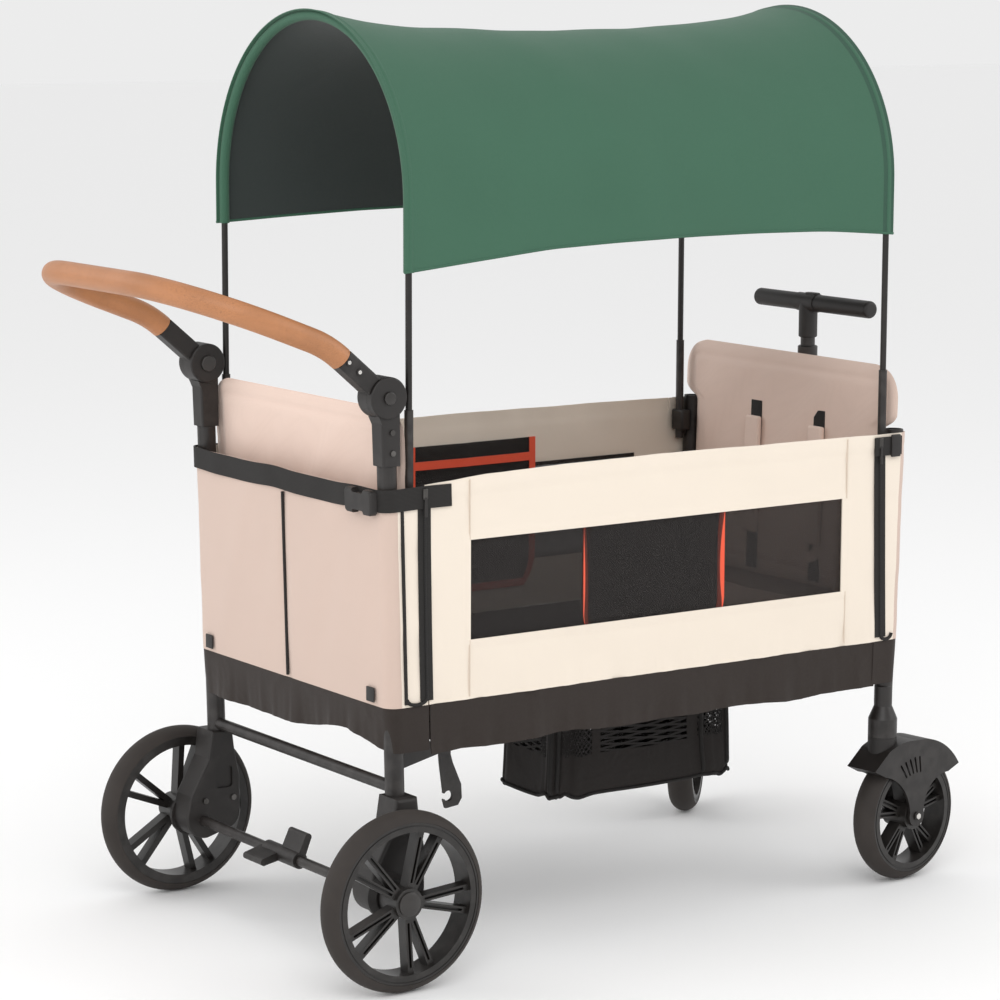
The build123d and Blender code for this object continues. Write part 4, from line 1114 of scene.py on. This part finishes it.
    def outline(self, end: EndLine, out: float) -> tuple[np.ndarray, np.ndarray, float]:
        """The band's path seen from above: along-frame offsets, Y and its length."""
        half, back, radius = self.half + out, self.back + out, self.corner
        tip = -end.wing
        turn = np.linspace(0, math.pi / 2, 9)
        a = np.concatenate([np.linspace(tip, back - radius, 8)[:-1], back - radius + radius * np.sin(turn)])
        y = np.concatenate([np.full(7, -half), -half + radius - radius * np.cos(turn)])
        straight = np.linspace(-half + radius, half - radius, 61)[1:-1]
        a_all = np.concatenate([a, np.full(len(straight), back), a[::-1]])
        y_all = np.concatenate([y, straight, -y[::-1]])
        steps = np.hypot(np.diff(a_all), np.diff(y_all))
        return a_all, y_all, float(steps.sum())

    def walk(self, end: EndLine, s: np.ndarray, out: float) -> tuple[np.ndarray, np.ndarray, np.ndarray]:
        """Offset forward, Y and bend (0 on flats, 1 on corners) at a share s of the band's path."""
        a, y, _ = self.outline(end, out)
        run = np.concatenate([[0], np.cumsum(np.hypot(np.diff(a), np.diff(y)))])
        run /= run[-1]
        return np.interp(s, run, a), np.interp(s, run, y), run

    def end_wall(self, end: EndLine, node: str, low: float, top: float) -> None:
        """A blush wall across one end, round both corners."""
        length = self.outline(end, 0)[2]

        def place(s: np.ndarray, t: np.ndarray) -> np.ndarray:
            """Points at shares s along the piece and t up it."""
            along, y, _ = self.walk(end, s, 0.0)
            flat = np.clip(1 - (np.abs(y) / (self.half - 0.02)) ** 6, 0, 1)
            z = low + t * (top - low)
            puff = 0.0035 * flat * np.sin(np.pi * np.clip(t, 0, 1)) ** 0.7
            fold = 0.0010 * ripple(y / 0.17 + t * 0.6, 1.2) * flat * np.sin(np.pi * t) ** 0.5
            valley = -0.0022 * np.exp(-((y / 0.010) ** 2)) * np.sin(np.pi * np.clip(t, 0.02, 1)) ** 0.3
            hem = 0.0010 * band((1 - t) * (top - low), 0.014)
            outward_by = along - 0.0015 + puff + fold + valley + hem
            x = end.at(end.facing * outward_by, z)
            side_hem = np.sign(y) * (0.0006 * ripple(z / 0.12, 2.0) - 0.0012)
            return np.stack([x, y + side_hem * (1 - flat), z], axis=1)

        wall = surface(f"{node}_cloth", 150, 44, place, (length, top - low))
        sheeted(wall, 0.0018)
        paint(wall, Finish.BLUSH, Finish.CREAM)
        for face in wall.data.polygons:
            along = (face.center.x - end.at(0.0, face.center.z)) * end.facing
            face.material_index = int(along < (-0.0035 if end.facing < 0 else 0.0))
        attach(wall, end.body)
        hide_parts(node)

    def end_skirt(self, end: EndLine, node: str) -> None:
        """The dark band below an end wall; the rear one's lower edge is arched."""
        length = self.outline(end, 0)[2]
        high = self.seam - 0.0003

        def place(s: np.ndarray, t: np.ndarray) -> np.ndarray:
            """Points at shares s along the piece and t up it."""
            along, y, _ = self.walk(end, s, 0.0)
            arch = np.exp(-(((y + 0.133) / 0.075) ** 2))
            low = 0.2915 + (0.018 if end.facing < 0 else 0.0) * arch
            loose = (1 - t) ** 1.3
            wave = (0.0032 * ripple(y / 0.15, 0.9) + 0.0012 * ripple(y / 0.05, 2.0)) * loose
            z = low + t * (high - low)
            x = end.at(end.facing * (along - 0.0022 + wave), z)
            return np.stack([x, y - np.sign(y) * 0.0010, z], axis=1)

        skirt = surface(f"{node}_cloth", 150, 12, place, (length, 0.05))
        sheeted(skirt, 0.0018)
        paint(skirt, Finish.DARK)
        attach(skirt, end.body)
        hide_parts(node)

    def end_piping(self) -> None:
        """Black piping: down the middle of the rear wall and up both of its corners, and blank tags."""
        middle = [(REAR_END.at(-0.0178, z), 0.0, z) for z in np.linspace(0.356, 0.600, 9)]
        pieces = [tube("rear_piping_middle", middle, 0.0021, Finish.WEBBING)]
        for side in Side:
            run = []
            for z in np.linspace(0.356, 0.606, 9):
                run.append((0.0362 - 0.006 * (z - 0.356) / 0.25, side.value * 0.2436, z))
            pieces.append(tube(f"rear_piping_{side.word}", run, 0.0024, Finish.WEBBING))
            x = REAR_END.at(-0.0187, 0.368)
            y = side.value * 0.205
            tag = block(
                f"rear_tag_{side.word}", (x - 0.0012, y - 0.009, 0.357), (x + 0.0012, y + 0.009, 0.376),
                0.001, Finish.MOULDED,
            )
            pieces.append(tag)
        for piece in pieces:
            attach(piece, "frame")


# ---- padded pieces --------------------------------------------------------------------------


@dataclass
class Pad:
    """A padded board or cushion that is inflated, then creased along its seams."""

    name: str
    low: Point
    high: Point
    body: str
    slot: str
    nodes: tuple[str, ...]
    finish: Finish = Finish.PAD
    voxel: float = 0.006
    cap: float = 0.007
    inset: float = 0.005
    corner: float = 0.02
    fill: float = 0.7

    def build(self) -> bpy.types.Object:
        """Make the pad: a rounded block, inflated, smoothed and painted, then attached to its body."""
        low = [a + self.inset for a in self.low]
        high = [b - self.inset for b in self.high]
        pad = block(self.name, low, high, self.corner, self.finish, 5)
        inflate(pad, self.voxel, 4.0, self.cap)
        self.settle(pad)
        modifier(pad, "SUBSURF", levels=1, render_levels=1)
        finish_modifiers(pad)
        self.seam(pad)
        smooth(pad, 80)
        paint(pad, self.finish)
        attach(pad, self.body)
        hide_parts(*self.nodes)
        return pad

    def settle(self, pad: bpy.types.Object) -> None:
        """Keep the pad inside the room its solid holds."""
        rows = positions(pad)
        put(pad, np.clip(rows, np.array(self.low) + 0.0005, np.array(self.high) + 0.004))

    def seam(self, pad: bpy.types.Object) -> None:
        """Press a welt line round the sides, halfway up."""
        rows = positions(pad)
        middle = (self.low[2] + self.high[2]) / 2 + 0.018
        side_on = np.maximum(
            np.abs(rows[:, 0] - (self.low[0] + self.high[0]) / 2) / (self.high[0] - self.low[0]),
            np.abs(rows[:, 1] - (self.low[1] + self.high[1]) / 2) / (self.high[1] - self.low[1]),
        )
        depth = 0.0030 * np.exp(-(((rows[:, 2] - middle) / 0.004) ** 2)) * (side_on > 0.42)
        centre = np.array([(a + b) / 2 for a, b in zip(self.low, self.high)])
        aim = centre - rows
        aim[:, 2] = 0
        aim /= np.maximum(np.linalg.norm(aim, axis=1, keepdims=True), 1e-9)
        put(pad, rows + aim * depth[:, None])


@dataclass
class Backrest:
    """A padded board between the uprights that spreads over the tub's edge."""

    end: EndLine
    near: float
    far: float
    top: float
    corner: float
    node: str
    neck: float = 0.2100
    half: float = 0.2370
    shoulder: float = 0.646
    low: float = 0.402
    bulge: float = 0.004

    def width(self, z: np.ndarray) -> np.ndarray:
        """Half of the board's width at a height, round at its top corners."""
        step = np.clip((z - self.shoulder) / 0.016, 0, 1) ** 0.5
        wide = self.neck + (self.half - self.neck) * step
        over = np.clip((z - (self.top - self.corner)) / self.corner, 0, 1)
        return wide - self.corner * (1 - np.sqrt(np.clip(1 - over**2, 0, 1)))

    def build(self) -> None:
        """Make the board as a crowned closed form with a stitched border."""
        columns, rows = 72, 62
        thick = self.far - self.near
        high = self.top - self.low

        def face(s: np.ndarray, t: np.ndarray, sign: int) -> np.ndarray:
            """Points of one side of the board."""
            z = self.low + high * t
            w = self.width(z)
            y = (2 * s - 1) * w
            edge = np.minimum(np.minimum(w - np.abs(y), self.top - z), np.maximum(z - self.low, 0))
            crown = np.clip(edge / 0.030, 0, 1) ** 0.5
            stitch = np.exp(-(((edge - 0.020) / 0.0022) ** 2))
            soft = 0.0012 * ripple(y / 0.19 + z / 0.23, 1.1) * np.clip(edge / 0.04, 0, 1)
            depth = thick / 2 * (0.55 + 0.45 * crown) + self.bulge * crown - 0.0028 * stitch + soft * sign
            x = self.end.at((self.near + self.far) / 2 + sign * (depth - self.bulge), z)
            return np.stack([x, y, z], axis=1)

        board = surface(self.node + "_pad", columns, rows, lambda s, t: face(s, t, 1), (2 * self.half, high))
        flat = len(board.data.vertices)
        modifier(board, "SOLIDIFY", thickness=0.004, offset=0)
        finish_modifiers(board)
        grid = (np.linspace(0, 1, columns + 1), np.linspace(0, 1, rows + 1))
        s = np.tile(grid[0], rows + 1)
        t = np.repeat(grid[1], columns + 1)
        both = positions(board)
        if len(both) == 2 * flat:
            both[:flat] = face(s, t, 1)
            both[flat:] = face(s, t, -1)
            put(board, both)
        outward(board)
        modifier(board, "SUBSURF", levels=1, render_levels=1)
        finish_modifiers(board)
        smooth(board, 70)
        paint(board, Finish.PAD)
        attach(board, self.end.body)
        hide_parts(self.node)


@dataclass
class Seating:
    """Benches, their loose pads, backrests and harness."""

    def build(self) -> None:
        """Make every padded piece."""
        for end, body in (("rear", "floor_rear"), ("front", "floor_front")):
            low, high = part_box(f"seat_cushion_{end}")
            Pad(
                f"bench_{end}", tuple(low), tuple(high), body, "blush_cloth", (f"seat_cushion_{end}",),
                corner=0.022, voxel=0.007, cap=0.008, inset=0.006,
            ).build()
        Backrest(REAR_END, 0.0165, 0.0265, 0.727, 0.036, "rear_backrest", neck=0.2350).build()
        Backrest(FRONT_END, -0.0105, 0.0030, 0.731, 0.045, "front_backrest").build()
        self.harness()

    def harness(self) -> None:
        """Two shoulder pads with webbing behind them."""
        for index, y in enumerate((0.062, -0.079)):
            x = FRONT_END.at(-0.0158, 0.548)
            pad = block(
                f"harness_pad_{index + 1}", (x - 0.0042, y - 0.0155, 0.463), (x + 0.0042, y + 0.0155, 0.633),
                0.0038, Finish.PAD, 4,
            )
            rows = positions(pad)
            lean = (rows[:, 2] - 0.548) * math.sin(math.radians(FRONT_END.lean))
            nod = 0.0018 * np.sin((rows[:, 2] - 0.463) / 0.17 * math.pi)
            rows[:, 0] += lean - nod
            put(pad, rows)
            strap = block(
                f"harness_webbing_{index + 1}",
                (x + 0.0046, y - 0.0120, 0.410), (x + 0.0062, y + 0.0120, 0.655),
                0.0007, Finish.WEBBING, 2,
            )
            rows = positions(strap)
            rows[:, 0] += (rows[:, 2] - 0.548) * math.sin(math.radians(FRONT_END.lean))
            put(strap, rows)
            for piece, slot in ((pad, "blush_cloth"), (strap, "webbing")):
                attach(piece, "front_frame")
        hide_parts("harness_pads")


# ---- basket ---------------------------------------------------------------------------------


@dataclass
class Basket:
    """The cloth basket slung under the floor: a lofted shell that sags, with net windows and webbing."""

    back: float = 0.3920
    front: float = 0.7020
    half: float = 0.0645
    low: float = 0.1440
    top: float = 0.2955
    corner: float = 0.020

    def ring(self, s: np.ndarray, shrink: np.ndarray) -> tuple[np.ndarray, np.ndarray]:
        """A rounded rectangle seen from above; shrink is 1 at full size."""
        turn = s * math.tau
        power = 0.24
        centre_x = (self.back + self.front) / 2
        half_x = (self.front - self.back) / 2
        x = centre_x + half_x * shrink * np.sign(np.cos(turn)) * np.abs(
            np.cos(turn)
        ) ** power
        y = self.half * shrink * np.sign(np.sin(turn)) * np.abs(np.sin(turn)) ** power
        return x, y

    def place(self, s: np.ndarray, t: np.ndarray, out: float = 0.0) -> np.ndarray:
        """Points of the shell: t runs from the rim down the wall and in to the middle of the base."""
        wall = np.clip(t / 0.62, 0, 1)
        base = np.clip((t - 0.62) / 0.38, 0, 1)
        shrink = (1 + 0.035 * wall**3) * (1 - base)
        x, y = self.ring(s, np.maximum(shrink, 0.0))
        mid = (self.back + self.front) / 2
        reach = (x - mid) / (self.front - self.back)
        slack = 0.0062 * ripple(s * 7, 1.3) * np.sin(np.pi * wall * 0.9) + 0.0016 * ripple(s * 19, 0.3) * wall
        rim_dip = 0.012 * np.cos(np.clip(reach * 2, -1, 1) * math.pi / 2) * (1 - wall)
        sag = 0.004 * (1 - (2 * reach) ** 2) * wall
        slope = self.top - (self.top - self.low - 0.006) * wall
        z = slope - sag - rim_dip * 0.6 + 0.0035 * ripple(s * 9, 2.2) * wall
        z = np.maximum(z, self.low + 0.001)
        away = np.hypot(x - mid, y)
        x = x + (x - mid) / np.maximum(away, 1e-6) * (slack * 0.6 - 0.001 + out)
        y = y + y / np.maximum(away, 1e-6) * (slack - 0.001 + out) * 1.0
        y = np.clip(y, -self.half - 0.007, self.half + 0.007)
        return np.stack([x, y, z], axis=1)

    def build(self) -> None:
        """Make the shell, its net windows, webbing and bindings."""
        around = 2 * (self.front - self.back + 2 * self.half)
        shell = surface("basket_shell", 120, 40, self.place, (around, 0.20))
        outward(shell)
        sheeted(shell, 0.0016)
        # the shell's cloth is the painted-shade copy of the dark cloth
        paint(shell, Finish.SLING, Finish.BASKET)
        for face in shell.data.polygons:
            face.material_index = int(self.is_net(face.center))
        pieces = [shell]
        rim = np.linspace(0, 1, 49)
        pieces.append(self.line("basket_rim", rim, np.zeros(49), 0.0026, Finish.WEBBING))
        for index, share in enumerate((0.62, 0.78, 0.88, 0.58)):
            steps = np.linspace(0.0, 0.66, 12)
            name = f"basket_webbing_{index + 1}"
            pieces.append(self.line(name, np.full(12, share), steps, 0.0034, Finish.WEBBING))
        around_base = np.linspace(0, 1, 97)
        pieces.append(self.line("basket_binding", around_base, np.full(97, 0.62), 0.0024, Finish.WEBBING))
        for piece in pieces:
            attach(piece, "frame")
            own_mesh(piece)
        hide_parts("storage_basket")

    def is_net(self, centre: Vector) -> bool:
        """Whether a place on the wall belongs to a net window."""
        high = (centre.z - self.low) / (self.top - self.low)
        reach = (centre.x - self.back) / (self.front - self.back)
        sides = any(a < reach < b for a, b in ((0.05, 0.22), (0.28, 0.46), (0.54, 0.70), (0.80, 0.95)))
        ends = not 0.02 < reach < 0.98 and abs(centre.y) < 0.045
        return 0.40 < high < 0.93 and (sides or ends)

    def line(
        self, name: str, s: np.ndarray, t: np.ndarray, radius: float, finish: Finish
    ) -> bpy.types.Object:
        """A binding or webbing on the shell's outside."""
        return tube(name, [tuple(p) for p in self.place(s, t, 0.0012)], radius, finish)


# ---- straps and small hardware --------------------------------------------------------------


@dataclass
class Straps:
    """The webbing round the rear end and the clips at the front corners."""

    low: float = 0.6035
    high: float = 0.6320

    def build(self) -> None:
        """Make the strap and the corner clips."""
        tub = Tub(back=0.0180, half=0.2452, corner=0.019)
        end = EndLine(REAR_END.foot_x, REAR_END.foot_z, REAR_END.lean, -1, 0.084, "frame")
        length = tub.outline(end, 0)[2]

        def place(s: np.ndarray, t: np.ndarray) -> np.ndarray:
            """Points at shares s along the piece and t up it."""
            along, y, _ = tub.walk(end, s, 0.0)
            z = self.low + t * (self.high - self.low) + 0.0015 * ripple(s * 2.1, 1.0)
            flat = np.clip(1 - (np.abs(y) / 0.22) ** 4, 0, 1)
            dip = 0.002 * np.sin(np.pi * np.clip((y + 0.23) / 0.46, 0, 1)) * flat
            x = end.at(end.facing * (along + 0.0008 * flat * ripple(y / 0.2, 2.0)), z)
            return np.stack([x, y, z - dip], axis=1)

        strap = surface("rear_strap_webbing", 140, 4, place, (length, self.high - self.low))
        sheeted(strap, 0.0016)
        paint(strap, Finish.WEBBING)
        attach(strap, "frame")
        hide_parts("rear_strap")
        for side in Side:
            self.corner_clip(side)

    def corner_clip(self, side: Side) -> None:
        """A moulded clip and a webbing turn on the front upright."""
        x0, x1 = 0.8000, 0.8480
        y = side.value * 0.2455
        body = "front_frame"
        web = block(
            f"corner_webbing_{side.word}", (x0, min(y, y + side.value * 0.0016), 0.6120),
            (x1, max(y, y + side.value * 0.0016), 0.6380), 0.0007, Finish.WEBBING,
        )
        keeper = block(
            f"corner_keeper_{side.word}", (x1 - 0.020, min(y, y + side.value * 0.0045), 0.6095),
            (x1 - 0.004, max(y, y + side.value * 0.0045), 0.6405), 0.0018, Finish.MOULDED,
        )
        inner = side.value * 0.2100
        clip = block(
            f"corner_clip_{side.word}", (0.8180, min(inner, side.value * 0.2365), 0.5950),
            (0.8340, max(inner, side.value * 0.2365), 0.6250), 0.0030, Finish.MOULDED,
        )
        for piece, slot in ((web, "webbing"), (keeper, "black_moulding"), (clip, "black_moulding")):
            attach(piece, body)


@dataclass
class Hardware:
    """Materials of the frame's own nodes, and the screws, cups, caps, nuts and rivets on them."""

    finishes: dict[Finish, tuple[str, ...]] = field(
        default_factory=lambda: {
            Finish.FRAME: (
                "rear_upright_left", "rear_upright_right", "front_upright_left", "front_upright_right",
                "rear_cross_tube", "front_cross_tube", "brake_shaft", "pull_tube_outer", "pull_tube_inner",
                "handle_tube",
            ),
            Finish.MOULDED: (
                "wheel_bracket_left", "wheel_bracket_right", "handle_base_left", "handle_base_right",
                "handle_arm_left", "handle_arm_right", "strap_buckle", "brake_pedal", "fold_hook",
                "pull_bracket",
                "pull_grip", "caster_fork_left", "caster_fork_right", "pull_button",
            ),
            Finish.RIM: ("rear_rim_left", "rear_rim_right", "caster_rim_left", "caster_rim_right"),
            Finish.BUTTON: ("tilt_button_left", "tilt_button_right", "hub_cap_left", "hub_cap_right"),
            Finish.TYRE: ("rear_tyre_left", "rear_tyre_right", "caster_tyre_left", "caster_tyre_right"),
            Finish.ROD: ("canopy_hoop_rear", "canopy_hoop_front"),
            Finish.BOLT: ("frame_bolts",),
            Finish.GRIP: ("handle_grip",),
            Finish.DARK: ("floor_panel_rear", "floor_panel_front"),
        }
    )

    def build(self, nodes: dict[str, bpy.types.Object]) -> None:
        """Dress the frame's nodes, then add the small pieces."""
        for finish, names in self.finishes.items():
            for name in names:
                nodes[name].data.materials.clear()
                nodes[name].data.materials.append(finish.material)
        for side in Side:
            self.knuckle_screws(side)
            self.post_hardware(side)

    def knuckle_screws(self, side: Side) -> None:
        """Screw heads in moulded cups on the handle arms."""
        start = Vector((0.012, 0, 0.747))
        aim = (Vector((-0.060, 0, 0.808)) - start).normalized()
        for index, distance in enumerate((0.054, 0.074)):
            spot = start + aim * distance
            kinds = (("cup", 0.0046, 0.0018, Finish.MOULDED), ("screw", 0.0026, 0.0026, Finish.STEEL))
            for kind, radius, height, finish in kinds:
                head = disc(
                    f"arm_{kind}_{index + 1}_{side.word}", (spot.x, side.value * 0.2405, spot.z),
                    "Y", radius, height,
                    finish, 0.0006, 24,
                )
                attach(head, "push_handle")

    def post_hardware(self, side: Side) -> None:
        """Rivets low on the front posts, pivot caps on the knuckles and axle nuts on the casters."""
        cap = disc(
            f"pivot_cap_{side.word}", (0.012, side.value * 0.2455, 0.747),
            "Y", 0.0082, 0.0036, Finish.BUTTON, 0.0014, 32,
        )
        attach(cap, "frame")
        turn = math.radians(45.0 if side is Side.LEFT else 8.0)
        centre = Vector((0.840 + 0.047 * math.cos(turn), side.value * 0.228 + 0.047 * math.sin(turn), 0.094))
        out = Vector((-math.sin(turn), math.cos(turn), 0)) * side.value
        nut = disc(f"axle_nut_{side.word}", (0, 0, 0), "Z", 0.0048, 0.0034, Finish.STEEL, 0.0010, 6)
        aim = np.array(out.to_track_quat("Z", "Y").to_matrix())
        put(nut, positions(nut) @ aim.T + np.array(centre + out * 0.0290))
        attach(nut, f"caster_{side.word}")
        for index, z in enumerate((0.335, 0.600)):
            x = FRONT_END.at(0.0, z)
            rivet = disc(
                f"front_rivet_{index + 1}_{side.word}", (x + 0.0125, side.value * 0.227, z),
                "X", 0.0042, 0.0030,
                Finish.BOLT, 0.0011, 24,
            )
            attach(rivet, "front_frame")


# ---- studio ---------------------------------------------------------------------------------


@dataclass
class Studio:
    """Pale floor, soft light and the camera."""

    eye: Point = (-2.2445, -3.7638, 1.2751)
    azimuth: float = -33.45
    elevation: float = 9.19
    lens: float = 122.43
    shift: tuple[float, float] = (0.06395, 0.01668)

    def build(self) -> None:
        """Make the studio."""
        self.floor()
        self.lights()
        self.camera()
        scene = bpy.context.scene
        scene.view_settings.view_transform = "Standard"
        scene.view_settings.look = "None"
        scene.view_settings.exposure = 0.0

    def floor(self) -> None:
        """A large plain floor, just under the tyres."""
        bpy.ops.object.select_all(action="DESELECT")
        bpy.ops.mesh.primitive_plane_add(size=60, location=(0.4, 0, -0.0005))
        floor = bpy.context.object
        floor.name = "studio_floor"
        bpy.ops.object.transform_apply(location=True, rotation=True, scale=True)
        material, _, shader = blank("studio_floor_finish")
        shader.inputs["Base Color"].default_value = (0.98, 0.98, 0.98, 1)
        shader.inputs["Roughness"].default_value = 0.9
        floor.data.materials.append(material)

    def lights(self) -> None:
        """A bright even sky with three large soft boxes."""
        world = bpy.data.worlds.new("studio_sky")
        bpy.context.scene.world = world
        world.use_nodes = True
        sky = world.node_tree.nodes["Background"]
        sky.inputs["Color"].default_value = (1, 1, 1, 1)
        sky.inputs["Strength"].default_value = 0.84
        boxes = (
            ("key_box", (-1.6, -3.0, 3.2), 2.6, 50),
            ("side_box", (3.4, -2.2, 2.4), 2.2, 28),
            ("back_box", (-2.6, 2.2, 2.6), 2.4, 28),
            ("low_box", (-3.4, -0.3, 1.0), 2.0, 13),
        )
        for name, place, size, power in boxes:
            data = bpy.data.lights.new(name, "AREA")
            data.size = size
            data.energy = power
            lamp = bpy.data.objects.new(name, data)
            lamp.location = place
            lamp.rotation_euler = (Vector((0.4, 0, 0.5)) - Vector(place)).to_track_quat("-Z", "Y").to_euler()
            bpy.context.collection.objects.link(lamp)

    def camera(self) -> None:
        """The camera at its fixed place."""
        data = bpy.data.cameras.new("studio_camera")
        data.lens = self.lens
        data.sensor_width = 36
        data.shift_x, data.shift_y = self.shift
        data.clip_end = 100
        camera = bpy.data.objects.new("studio_camera", data)
        camera.location = self.eye
        camera.rotation_euler = (math.radians(90 - self.elevation), 0, math.radians(self.azimuth))
        bpy.context.collection.objects.link(camera)
        bpy.context.scene.camera = camera


def main() -> None:
    """Build the studio and then each sub-assembly around the frame."""
    logging.basicConfig(level=logging.INFO)
    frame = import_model()
    for piece in (Studio(), Canopy(), Tub(), Seating(), Basket(), Straps()):
        piece.build()
        log.info("built %s", type(piece).__name__.lower())
    Hardware().build(frame["nodes"])


if __name__ == "__main__":
    main()
